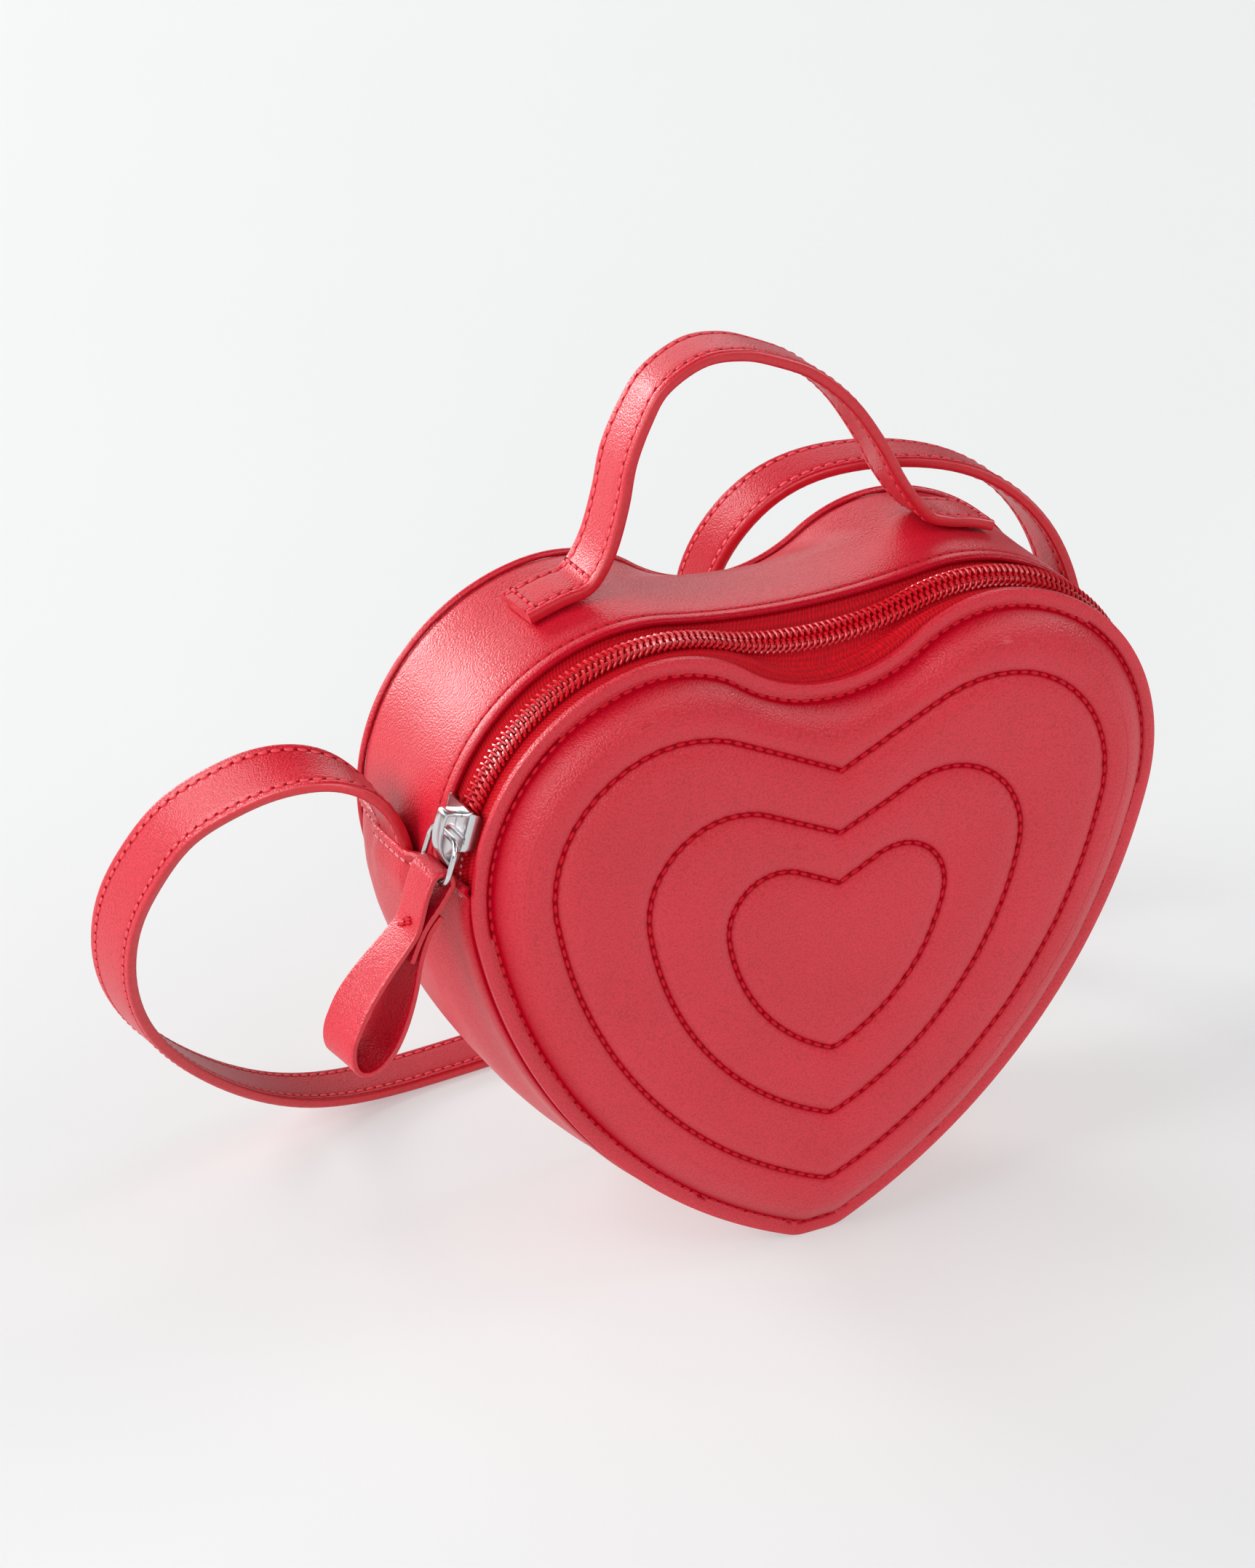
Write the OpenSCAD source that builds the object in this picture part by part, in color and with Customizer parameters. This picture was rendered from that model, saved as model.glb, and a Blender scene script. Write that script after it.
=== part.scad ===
// Heart shaped purse: a padded, quilted front panel on a boxed heart body, a coil zip
// over the top, a carrying handle on the two lobes and a flat shoulder strap.
// X is to the right, Y to the back and Z up. The origin is on the resting tip,
// halfway between the front and the back panel.

/* [Heart outline] */
// Height of the lobe centres above the tip
lobe_z = 111.8; // [108:0.1:115]
// Distance of each lobe centre from the middle
lobe_x = 40.3; // [39:0.1:42]
// Radius of the lobes
lobe_r = 49.8; // [48:0.1:51]
// Radius of the long flanks
flank_r = 142; // [135:1:160]
// Radius of the rounded tip
tip_r = 12; // [10:0.5:14]
// Width of the flat that the tip rests on
tip_flat = 6; // [4:0.5:8]
// Radius of the inner shoulders that fall into the cleft
shoulder_r = 36; // [34:0.5:40]
// Depth of the cleft below the tops of the lobes
cleft_d = 13.9; // [12.5:0.1:15.5]

/* [Body] */
// Depth from the front rim to the back face
bag_depth = 58; // [54:1:64]
// How much the back outline is wider than the front outline
flare_share = 1.025; // [1.01:0.005:1.04]
// Height of the side seams where the strap ends are sewn in
seam_z = 110; // [109:0.5:111]
// Thickness of the outer leather
leather_t = 1.4; // [1:0.1:1.6]
// Thickness of the lining
lining_t = 0.8; // [0.5:0.1:1]
// Thickness of the stiffening boards
board_t = 1.4; // [1:0.1:1.6]
// Clearance between sewn layers
seam_gap = 0.3; // [0.2:0.05:0.35]
// Clearance between parts that move
run_gap = 0.3; // [0.2:0.05:0.4]
// Width of the raised welt round the back face
welt_w = 1.6; // [1:0.1:2]

/* [Front panel] */
// Width of the flat stitched rim
rim_w = 5; // [4:0.5:6]
// How far the padding stands in front of the rim
puff_h = 6; // [5:0.5:7]
// Depth of the quilting seams
quilt_d = 1; // [0.6:0.1:1.4]
// Half width of a quilting seam's valley
quilt_w = 2.6; // [2:0.2:3]
// Height of the line that the opened panel folds along
fold_z = 136; // [134:0.5:138]

/* [Zip] */
// Distance from the front rim to the middle of the chain
chain_in = 9; // [8.5:0.1:9.5]
// Width of the closed chain
chain_w = 6.4; // [6:0.1:6.8]
// Height of the coil
coil_h = 2.4; // [2:0.1:2.6]
// Spacing of the coil's turns
coil_pitch = 1.6; // [1.4:0.1:2]
// Thickness of the tape
tape_t = 0.6; // [0.4:0.1:0.7]
// How far the chain's middle stands outside the lobes of the front outline
chain_out = 0.2; // [0:0.1:0.4]
// How far the chain dips over the cleft
chain_dip = 6.1; // [5:0.1:7.5]
// Distance from the front rim to the upper gusset's front edge
mouth_in = 16; // [15.8:0.1:17]
// How far the upper gusset's front edge dips over the cleft
mouth_dip = 1.1; // [0.6:0.1:2.5]

/* [Slider and pull] */
// Length of the slider
slider_l = 14.5; // [13.5:0.1:15]
// Width of the slider's wide end
slider_w = 12; // [11.5:0.1:12.2]
// Thickness of the slider's plates
plate_t = 1.4; // [1.2:0.1:1.5]
// Angle of the slider above the lobe's middle
slider_a = 15.7; // [15:0.1:17]
// Width of the bridge on the slider
bridge_w = 3.2; // [2.8:0.1:3.6]
// Wire diameter of the ring
wire_d = 1.3; // [1.1:0.1:1.4]
// Width of the ring, wire middle to wire middle
ring_w = 13; // [12.8:0.1:13.6]
// Height of the ring, wire middle to wire middle
ring_h = 10.4; // [10.2:0.1:11]
// Corner radius of the ring
ring_corner = 3.2; // [3:0.1:3.4]
// Angle at which the ring hangs outwards
ring_a = 18; // [17:0.5:20]
// Width of the leather pull
pull_w = 10.6; // [9.6:0.1:10.8]
// Thickness of the pull's leather
pull_t = 1.4; // [1.2:0.1:1.5]
// Length of the pull below the ring
pull_l = 48; // [45:1:55]
// Angle at which the pull hangs outwards
pull_a = 27; // [24:1:29]

/* [Straps] */
// Width of the handle and of the shoulder strap
strap_w = 15; // [13:0.5:16]
// Thickness of one layer of a strap
strap_t = 1.4; // [1.2:0.1:1.6]
// Half the span of the handle between its outer ends
handle_half = 61; // [58:1:63]
// Height of the handle's arch above the lobes
handle_h = 55; // [50:1:60]
// Distance of the straps' middle from the front rim
strap_in = 38; // [36:1:40]

/* [Hidden] */
$fn = 48;

// One overrun serves all cuts
cut = 1;
heart_h = lobe_z + lobe_r;
half_w = lobe_x + lobe_r;
cleft_z = heart_h - cleft_d;
chain_cleft_z = heart_h - chain_dip;
mouth_cleft_z = heart_h - mouth_dip;
front_y = -bag_depth / 2;
back_y = bag_depth / 2;
chain_y = front_y + chain_in;
mouth_y = front_y + mouth_in;
strap_y = front_y + strap_in;
lining_y = front_y + leather_t + seam_gap / 2;
band_y = lining_y + lining_t + seam_gap;
inside_back_y = back_y - leather_t - seam_gap / 2;
shoulder_a = 80;
mouth_flare_share = 1 + (flare_share - 1) / 2;
slider_post = 0.8;
chain_gap = slider_post + 2 * run_gap;
chain_r = lobe_r + chain_out;
tape_r = chain_r - coil_h / 2 - seam_gap / 2;
red = [0.78, 0.07, 0.1];
dark_red = [0.6, 0.03, 0.06];
lining_red = [0.5, 0.08, 0.1];
foam_grey = [0.85, 0.83, 0.8];
steel = [0.75, 0.76, 0.78];

// A flank arc touches both the tip's arc and the lobe's arc from outside
function meet(a, ra, b, rb) = let(d = norm(b - a), u = (b - a) / d,
    h = (ra * ra - rb * rb + d * d) / (2 * d)) a + h * u + sqrt(ra * ra - h * h) * [u[1], -u[0]];
function on_arc(c, r, a) = c + r * [cos(a), sin(a)];
function arc(c, r, a0, a1, n) = [for (i = [1:n]) on_arc(c, r, a0 + (a1 - a0) * i / n)];
function bearing(from, to) = atan2(to[1] - from[1], to[0] - from[0]);
function mirrored(h) = [for (i = [len(h) - 2:-1:0]) [-h[i][0], h[i][1]]];
function closed(h) = concat(h, mirrored(h));

flank_c = meet([lobe_x, lobe_z], flank_r - lobe_r, [tip_flat / 2, tip_r], flank_r - tip_r);

// Right half of a heart: s scales it about the tip, e grows it all round, v is the height
// of its cleft, sr the radius of its inner shoulders, and fine the number of steps. The
// side seam falls on the lobe, or on the flank where the flank reaches higher
function heart_half(s, e, v, sr, fine) = let(
    lobe = s * [lobe_x, lobe_z], tip = s * [tip_flat / 2, tip_r], flank = s * flank_c,
    rl = s * lobe_r + e, rs = s * sr + e,
    shoulder = lobe + s * (lobe_r - sr) * [cos(shoulder_a), sin(shoulder_a)],
    h = v - shoulder[1],
    c = (h * h - rs * rs + shoulder[0] * shoulder[0]) / (2 * (rs - h)),
    cleft = [0, v + c],
    rf = s * flank_r + e, a_tip = bearing(flank, tip), a_lobe = bearing(flank, lobe),
    a_seam = asin((seam_z - lobe[1]) / rl), a_end = bearing(shoulder, cleft))
    concat([on_arc(tip, s * tip_r + e, -90)],
        arc(tip, s * tip_r + e, -90, a_tip, 2 * fine),
        a_seam > a_lobe
            ? concat(arc(flank, rf, a_tip, a_lobe, 5 * fine), arc(lobe, rl, a_lobe, a_seam, 2 * fine),
                arc(lobe, rl, a_seam, shoulder_a, 6 * fine))
            : let(a_side = asin((seam_z - flank[1]) / rf))
                concat(arc(flank, rf, a_tip, a_side, 7 * fine), arc(flank, rf, a_side, a_lobe, fine),
                    arc(lobe, rl, a_lobe, shoulder_a, 5 * fine)),
        arc(shoulder, rs, shoulder_a, a_end, 4 * fine),
        arc(cleft, c, a_end + 180, 270, 3 * fine));
function heart(s, e, v, sr, fine) = closed(heart_half(s, e, v, sr, fine));
function panel_heart(e, fine) = heart(1, e, cleft_z + e, shoulder_r, fine);
function back_heart(e, fine) = heart(flare_share, e, flare_share * cleft_z + e, shoulder_r, fine);

// Steps of a heart up to its side seam, and in all
fine = 2;
to_seam = 9 * fine;
steps = 44 * fine + 1;

// Right half of a quilting heart, with a sharp cleft and a pointed tip. Its sizes are
// shares of the panel's height: lobe distance, lobe height, lobe radius, flank radius,
// tip height and cleft height
quilt_shares = [
    [0.251, 0.687, 0.198, 0.72, 0.114, 0.789],
    [0.172, 0.623, 0.133, 0.49, 0.229, 0.691],
    [0.099, 0.571, 0.079, 0.29, 0.34, 0.611]];
quilt_tip = rim_w / 4;
function quilt_half(q, e) = let(z = heart_h * quilt_shares[q],
    lobe = [z[0], z[1]], r = z[2] + e, rf = z[3] + e, rt = quilt_tip,
    tip = [rt / 2, z[4] - e + rt], v = [0, z[5] + e],
    flank = meet(lobe, rf - r, tip, rf - rt),
    a_tip = bearing(flank, tip), a_lobe = bearing(flank, lobe),
    a_end = bearing(lobe, v) - acos(r / norm(v - lobe)),
    last = on_arc(lobe, r, a_end))
    concat([on_arc(tip, rt, -90)], arc(tip, rt, -90, a_tip, 2),
        arc(flank, rf, a_tip, a_lobe, 5), arc(lobe, r, a_lobe, a_end, 12),
        [for (i = [1:3]) last + (v - last) * i / 3]);
function quilt(q, e) = closed(quilt_half(q, e));

// Flat piece in the plane of the panels, from y0 to y1
module slab(outline, y0, y1) {
    translate([0, y1, 0])
        rotate([90, 0, 0])
            linear_extrude(y1 - y0)
                polygon(outline);
}

function at_y(outline, y) = [for (p = outline) [p[0], y, p[1]]];

// Faces of a tube of n rings with m points each, closed round and capped at both ends. The
// two halves of a ring are split along opposite diagonals, so that layers stay parallel
function quad(a, b, c, d, turned) = turned ? [[a, b, c], [a, c, d]] : [[a, b, d], [b, c, d]];
function tube_faces(n, m) = concat(
    [for (i = [0:n - 2], j = [0:m - 1]) each quad(i * m + j, i * m + (j + 1) % m,
        (i + 1) * m + (j + 1) % m, (i + 1) * m + j, j >= m / 2)],
    [[for (j = [m - 1:-1:0]) j]],
    [[for (j = [0:m - 1]) (n - 1) * m + j]]);
module tube(rings) {
    polyhedron([for (r = rings, p = r) p], tube_faces(len(rings), len(rings[0])));
}

// Sewn band along the outline: outers are hearts at the depths ys, and the band has the
// thickness t, from step i0 to step i1 of the outline
module band(ys, outers, inners, i0, i1) {
    last = len(ys) - 1;
    tube([for (i = [i1:-1:i0]) let(k = i % steps) concat(
        [for (j = [0:last]) [outers[j][k][0], ys[j], outers[j][k][1]]],
        [for (j = [last:-1:0]) [inners[j][k][0], ys[j], inners[j][k][1]]])]);
}

module above(z) {
    intersection() {
        children();
        translate([-2 * heart_h, -2 * bag_depth, z])
            cube([4 * heart_h, 4 * bag_depth, 2 * heart_h]);
    }
}

module below(z) {
    intersection() {
        children();
        translate([-2 * heart_h, -2 * bag_depth, z - 2 * heart_h])
            cube([4 * heart_h, 4 * bag_depth, 2 * heart_h]);
    }
}

flap_z = fold_z + run_gap / 2;
rest_z = fold_z - run_gap / 2;

// Front panel: leather with a flat rim, a padded field and three quilted hearts, drawn
// from the middle of the field out to the rim's edge
pad_in = 2 * rim_w;
pad_h = puff_h - leather_t - quilt_d;
edge_r = leather_t / 3;
module front_skin() {
    top = front_y - puff_h;
    difference() {
        tube(concat(
            [for (q = [2:-1:0]) each [at_y(quilt(q, -quilt_w), top),
                at_y(quilt(q, 0), top + quilt_d), at_y(quilt(q, quilt_w), top)]],
            [at_y(panel_heart(-2.4 * rim_w, 1), top + quilt_d)],
            [at_y(panel_heart(-1.5 * rim_w, 1), front_y - puff_h / 2)],
            [at_y(panel_heart(-rim_w, 1), front_y)],
            [at_y(panel_heart(-edge_r, 1), front_y)],
            [at_y(panel_heart(0, 1), front_y + edge_r)],
            [at_y(panel_heart(0, 1), front_y + leather_t)]));
        slab(panel_heart(-pad_in, fine), front_y - pad_h, front_y + leather_t + cut);
    }
}

module front_panel_lower() {
    color(red) below(rest_z) front_skin();
}

module front_panel_upper() {
    color(red) above(flap_z) front_skin();
}

module front_pad() {
    slab(panel_heart(-pad_in - seam_gap, fine), front_y - pad_h + seam_gap, front_y + leather_t);
}

module front_pad_lower() {
    color(foam_grey) below(rest_z) front_pad();
}

module front_pad_upper() {
    color(foam_grey) above(flap_z) front_pad();
}

module front_lining() {
    slab(panel_heart(-seam_gap, fine), lining_y, lining_y + lining_t);
}

module front_lining_lower() {
    color(lining_red) below(rest_z) front_lining();
}

module front_lining_upper() {
    color(lining_red) above(flap_z) front_lining();
}

// Tape: a woven band whose outer face lies at the coil's foot round the lobes
function tape_heart(e, v) = heart(1, tape_r - lobe_r + e, v + e, lobe_r, fine);
tape_cleft_z = chain_cleft_z - coil_h / 2 - seam_gap / 2;
panel_side_z = cleft_z - tape_t;
module tape(ys, vs) {
    band(ys, [for (v = vs) tape_heart(0, v)], [for (v = vs) tape_heart(-tape_t, v)],
        to_seam, steps - 1 - to_seam);
}

module tape_front() {
    tape([band_y, band_y + leather_t, chain_y - chain_gap / 2],
        [panel_side_z, panel_side_z + leather_t, tape_cleft_z]);
}

module zip_tape_front() {
    color(dark_red) above(flap_z) tape_front();
}

module zip_tape_front_ends() {
    color(dark_red) below(rest_z) tape_front();
}

// The back tape climbs under the gusset's edge and is sewn there
module zip_tape_back() {
    lap = mouth_y + 3 * leather_t;
    flat_y = mouth_y - 2 * seam_gap;
    under = -leather_t - seam_gap;
    flat = tape_heart(0, tape_cleft_z);
    flat_in = tape_heart(-tape_t, tape_cleft_z);
    outers = [flat, flat, mouth_heart(under), mouth_heart(under)];
    inners = [flat_in, flat_in, mouth_heart(under - tape_t), mouth_heart(under - tape_t)];
    color(dark_red)
        band([chain_y + chain_gap / 2, flat_y - leather_t, flat_y + leather_t, lap],
            outers, inners, to_seam, steps - 1 - to_seam);
}

// Chain: the coil's turns follow the lobe's circle and then the shallow arc over the cleft
chain_h = chain_cleft_z - lobe_z;
chain_c = (chain_h * chain_h - chain_r * chain_r + lobe_x * lobe_x) / (2 * (chain_r - chain_h));
chain_end_a = bearing([lobe_x, lobe_z], [0, chain_cleft_z + chain_c]);
chain_seam_a = asin((seam_z - lobe_z) / chain_r);
chain_fold_a = asin((fold_z - lobe_z) / chain_r);
lobe_run = chain_r * (chain_end_a - chain_seam_a) * PI / 180;
cleft_run = chain_c * (chain_end_a - 90) * PI / 180;
half_run = lobe_run + cleft_run;
// Point of the right half of the chain at the length u from the seam, h above its middle
function chain_at(u, h) = u < lobe_run
    ? on_arc([lobe_x, lobe_z], chain_r + h, chain_seam_a + u / chain_r * 180 / PI)
    : on_arc([0, chain_cleft_z + chain_c], chain_c - h,
        chain_end_a + 180 - (u - lobe_run) / chain_c * 180 / PI);
turns = floor(half_run / coil_pitch);
turn = half_run / turns;
turn_share = 0.32;
groove_share = 0.3;
// Profile of the coil's right half, with a groove between each turn and the next
function coil_half(phase) = concat([chain_at(0, -coil_h / 2)],
    [for (i = [0:turns - 1]) let(u = (i + phase) * turn, w = turn_share * turn,
        hi = coil_h / 2, lo = coil_h / 2 - groove_share * coil_h)
        each [chain_at(max(u - w, 0), lo), chain_at(max(u - w / 2, 0), hi),
            chain_at(u + w / 2, hi), chain_at(u + w, lo)]]);
function coil_foot() = [for (i = [1:10 * fine])
    chain_at(half_run * (1 - i / (10 * fine)), -coil_h / 2)];
function coil_outline(phase) = let(foot = coil_foot(),
    right = [for (p = coil_half(phase)) if (p[0] > seam_gap) p],
    n = len(right), m = len(foot))
    concat(right, [[0, chain_at(half_run, coil_h / 2 - groove_share * coil_h)[1]]],
        [for (i = [n - 1:-1:0]) [-right[i][0], right[i][1]]],
        [for (i = [m - 2:-1:0]) [-foot[i][0], foot[i][1]]],
        [[0, chain_at(half_run, -coil_h / 2)[1]]],
        [for (i = [0:m - 2]) foot[i]]);
coil_w = (chain_w - chain_gap) / 2;

module coil_front() {
    slab(coil_outline(0.5), chain_y - chain_w / 2, chain_y - chain_gap / 2);
}

module zip_coil_front() {
    color(red) above(flap_z) coil_front();
}

module zip_coil_front_ends() {
    color(red) below(rest_z) coil_front();
}

module zip_coil_back() {
    color(red) slab(coil_outline(1), chain_y + chain_gap / 2, chain_y + chain_w / 2);
}

// Upper gusset: carries the handle, from one side seam over both lobes to the other
function mouth_heart(e) = heart(mouth_flare_share, e, mouth_cleft_z + e, lobe_r, fine);
mid_share = 0.45;
mid_y = mouth_y + mid_share * bag_depth;
mid_flare_share = 1 + (flare_share - 1) * 0.8;
function mid_heart(e) = heart(mid_flare_share, e, mouth_cleft_z - tape_t + e, (lobe_r + shoulder_r) / 2,
    fine);
module gusset(y0, e, t) {
    outs = [mouth_heart(e), mid_heart(e), back_heart(e, fine)];
    ins = [mouth_heart(e - t), mid_heart(e - t), back_heart(e - t, fine)];
    band([y0, mid_y, inside_back_y - (e == 0 ? 0 : board_t + lining_t + 2 * seam_gap)], outs, ins,
        to_seam, steps - 1 - to_seam);
}

module gusset_upper() {
    color(red) gusset(mouth_y, 0, leather_t);
}

module gusset_lining_upper() {
    color(lining_red)
        gusset(mouth_y + 3 * leather_t + seam_gap, -leather_t - 2 * seam_gap, lining_t);
}

// Lower gusset: from one side seam round the tip to the other
module lower_band(y0, y1, e, t) {
    below(seam_z - seam_gap)
        band([y0, y1], [panel_heart(e, fine), back_heart(e, fine)],
            [panel_heart(e - t, fine), back_heart(e - t, fine)],
            steps - 1 - to_seam, steps + to_seam);
}

module gusset_lower() {
    color(red) lower_band(band_y, inside_back_y, 0, leather_t);
}

module gusset_lining_lower() {
    color(lining_red) lower_band(band_y, inside_back_y - board_t - lining_t - 2 * seam_gap,
        -leather_t - seam_gap, lining_t);
}

// Back: flat leather, a board and a lining, with a thin welt round the edge that is
// pressed flat under the tip
module back_panel() {
    color(red) slab(back_heart(-welt_w / 2 - seam_gap, fine), back_y - leather_t, back_y);
}

module back_board() {
    color(foam_grey)
        slab(back_heart(-leather_t - 2 * seam_gap, fine), inside_back_y - board_t - seam_gap / 2,
            inside_back_y - seam_gap / 2);
}

module back_lining() {
    y1 = inside_back_y - board_t - seam_gap;
    color(lining_red)
        slab(back_heart(-leather_t - 2 * seam_gap, fine), y1 - lining_t, y1);
}

module back_welt() {
    color(red) above(0) difference() {
        slab(back_heart(welt_w / 2, fine), back_y - leather_t, back_y + seam_gap);
        slab(back_heart(-welt_w / 2, fine), back_y - leather_t - cut, back_y + seam_gap + cut);
    }
}

// Smooth curve through a strap's points
function spline(p, i, t) = let(n = len(p) - 1, a = p[max(i - 1, 0)], b = p[i], c = p[i + 1],
    d = p[min(i + 2, n)])
    0.5 * (2 * b + (c - a) * t + (2 * a - 5 * b + 4 * c - d) * t * t
        + (3 * b - a - 3 * c + d) * t * t * t);
function route(p, n) = concat(
    [for (i = [0:len(p) - 2], k = [0:n - 1]) spline(p, i, k / n)], [p[len(p) - 1]]);
function unit(v) = v / norm(v);

// Flat ribbon along a route, its width across the bag, from n0 to n1 off the route
module ribbon(path, w, n0, n1) {
    last = len(path) - 1;
    tube([for (i = [0:last])
        let(t = unit(path[min(i + 1, last)] - path[max(i - 1, 0)]),
            side = unit([0, 1, 0] - t[1] * t),
            up = cross(side, t), c = path[i])
        [c - side * w / 2 + up * n0, c + side * w / 2 + up * n0,
            c + side * w / 2 + up * n1, c - side * w / 2 + up * n1]]);
}

// The handle's route, as shares of its half span and of its height above the lobes
handle_shares = [[-1, -0.074], [-0.86, -0.025], [-0.76, 0], [-0.7, 0.07], [-0.652, 0.18],
    [-0.61, 0.344], [-0.577, 0.533], [-0.511, 0.707], [-0.43, 0.835], [-0.275, 0.925],
    [-0.118, 0.925], [0.03, 0.871], [0.193, 0.78], [0.357, 0.616], [0.489, 0.398],
    [0.587, 0.205], [0.7, 0.04], [0.79, -0.01], [0.9, -0.037], [1, -0.074]];
handle_base_z = flare_share * heart_h - (flare_share - 1) * heart_h * 0.12;
handle_path = route([for (s = handle_shares)
    [s[0] * handle_half, strap_y, handle_base_z + strap_t + seam_gap + s[1] * handle_h]], 3);

module handle_face() {
    color(red) ribbon(handle_path, strap_w, -strap_t, -seam_gap / 2);
}

module handle_backing() {
    color(red) ribbon(handle_path, strap_w, seam_gap / 2, strap_t);
}

// The shoulder strap's route, as shares of half the heart's width (X) and of its height
// (Y and Z): from the left seam round the left loop to the floor, along it behind the
// bag, up and over to the right seam
strap_shares = [[-1.039, 0.022, 0.683], [-1.055, 0.025, 0.734], [-1.099, 0.033, 0.782],
    [-1.171, 0.053, 0.811], [-1.254, 0.08, 0.818], [-1.343, 0.108, 0.806],
    [-1.431, 0.138, 0.776], [-1.532, 0.175, 0.727], [-1.605, 0.21, 0.65],
    [-1.654, 0.25, 0.56], [-1.654, 0.285, 0.45], [-1.587, 0.325, 0.34], [-1.453, 0.37, 0.235],
    [-1.255, 0.42, 0.13], [-1.04, 0.46, 0.055], [-0.807, 0.49, 0.0182], [-0.538, 0.51, 0.01],
    [-0.179, 0.53, 0.01], [0.269, 0.545, 0.01], [0.682, 0.55, 0.01], [0.986, 0.55, 0.024],
    [1.238, 0.55, 0.1], [1.327, 0.55, 0.22], [1.238, 0.54, 0.34], [1.004, 0.53, 0.42],
    [0.682, 0.51, 0.47], [0.404, 0.48, 0.54], [0.224, 0.44, 0.65], [0.138, 0.39, 0.79],
    [0.161, 0.345, 0.91], [0.269, 0.31, 1], [0.43, 0.285, 1.04], [0.637, 0.25, 1.045],
    [0.838, 0.225, 1.015], [0.985, 0.19, 0.947], [1.053, 0.155, 0.86], [1.062, 0.12, 0.77],
    [1.05, 0.095, 0.71], [1.043, 0.085, 0.683]];
strap_path = route([for (s = strap_shares) [s[0] * half_w, s[1] * heart_h,
    max(s[2] * heart_h, strap_t)]], 2);

module strap_face() {
    color(red) ribbon(strap_path, strap_w, -strap_t, -seam_gap / 2);
}

module strap_backing() {
    color(red) ribbon(strap_path, strap_w, seam_gap / 2, strap_t);
}

// Places a piece that is drawn beside the left lobe's middle at the angle a up the lobe
module on_lobe(a) {
    translate([-lobe_x, chain_y, lobe_z])
        rotate([0, a, 0])
            children();
}

// Slider: two plates on a post between the chain's halves, side lips and a bridge
plate_shares = [[0, 1], [0.86, 1], [1, 0.9], [1, 0.34], [0.94, 0.2], [0.78, 0.06], [0.6, -0.76],
    [0.44, -0.95], [0.2, -1], [0, -1]];
plate_half = [for (s = plate_shares) [s[0] * slider_w / 2, s[1] * slider_l / 2]];
plate_outline = concat(plate_half, [for (i = [len(plate_half) - 2:-1:1])
    [-plate_half[i][0], plate_half[i][1]]]);
top_in = chain_r + coil_h / 2 + run_gap;
bottom_out = tape_r - tape_t - 3.5 * run_gap;
pivot_r = top_in + plate_t + wire_d;
bridge_hole_r = wire_d / 2 + run_gap + run_gap / 2;
bridge_h = pivot_r + bridge_hole_r + plate_t - run_gap;

// Plate across the chain, from the radius r0 to r1 beside the lobe
module plate(outline, r0, r1) {
    translate([-r0, 0, 0])
        rotate([0, -90, 0])
            linear_extrude(r1 - r0)
                polygon([for (p = outline) [p[1], p[0]]]);
}

module zip_slider() {
    lip_t = slider_w / 12;
    lip_h = coil_h - 3 * run_gap;
    lip_l = 0.3 * slider_l;
    color(steel) on_lobe(slider_a) difference() {
        union() {
            plate(plate_outline, top_in, top_in + plate_t);
            plate([for (p = plate_outline) 0.8 * p], bottom_out - plate_t, bottom_out);
            for (side = [-1, 1])
                translate([-top_in - plate_t / 2, side * (slider_w / 2 - lip_t / 2),
                    slider_l / 2 - lip_l])
                    translate([0, -lip_t / 2, -lip_l / 4])
                        cube([lip_h + plate_t / 2, lip_t, lip_l]);
            translate([-top_in - plate_t / 2, -slider_post / 2, slider_l / 8])
                cube([top_in - bottom_out + plate_t, slider_post, slider_l / 4]);
            translate([0, bridge_w / 2, 0])
                rotate([90, 0, 0])
                    linear_extrude(bridge_w)
                        polygon(bridge_outline);
        }
        translate([-pivot_r, bridge_w, 0])
            rotate([90, 0, 0])
                cylinder(r = bridge_hole_r, h = 2 * bridge_w);
    }
}
bridge_shares = [[0.2, -0.86], [0.75, -0.78], [1, -0.5], [1, 0.1], [0.9, 0.5], [0.62, 0.8],
    [0.2, 0.92]];
bridge_rise = bridge_h - top_in - plate_t / 2;
bridge_outline = concat([[-top_in - plate_t / 2, -0.9 * slider_l / 2]],
    [for (s = bridge_shares) [-top_in - plate_t / 2 - s[0] * bridge_rise, s[1] * slider_l / 2]],
    [[-top_in - plate_t / 2, 0.95 * slider_l / 2]]);

// Ring: a rounded wire that hangs in the bridge
module at_pivot() {
    on_lobe(slider_a)
        translate([-pivot_r, 0, 0])
            rotate([0, ring_a - slider_a, 0])
                children();
}

module wire(l) {
    cylinder(d = wire_d, h = l, center = true);
}

module pull_ring() {
    dy = ring_w / 2 - ring_corner;
    dz = ring_h / 2 - ring_corner;
    color(steel) at_pivot() translate([0, 0, -ring_h / 2]) union() {
        for (end = [-1, 1])
            translate([0, 0, end * ring_h / 2])
                rotate([90, 0, 0])
                    wire(2 * dy);
        for (side = [-1, 1])
            translate([0, side * ring_w / 2, 0])
                wire(2 * dz);
        for (k = [0:3])
            translate([0, (k == 1 || k == 2 ? -1 : 1) * dy, (k > 1 ? -1 : 1) * dz])
                rotate([90, 0, 90])
                    rotate([0, 0, 90 * k])
                        rotate_extrude(angle = 90)
                            translate([ring_corner, 0])
                                circle(d = wire_d);
    }
}

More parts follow.
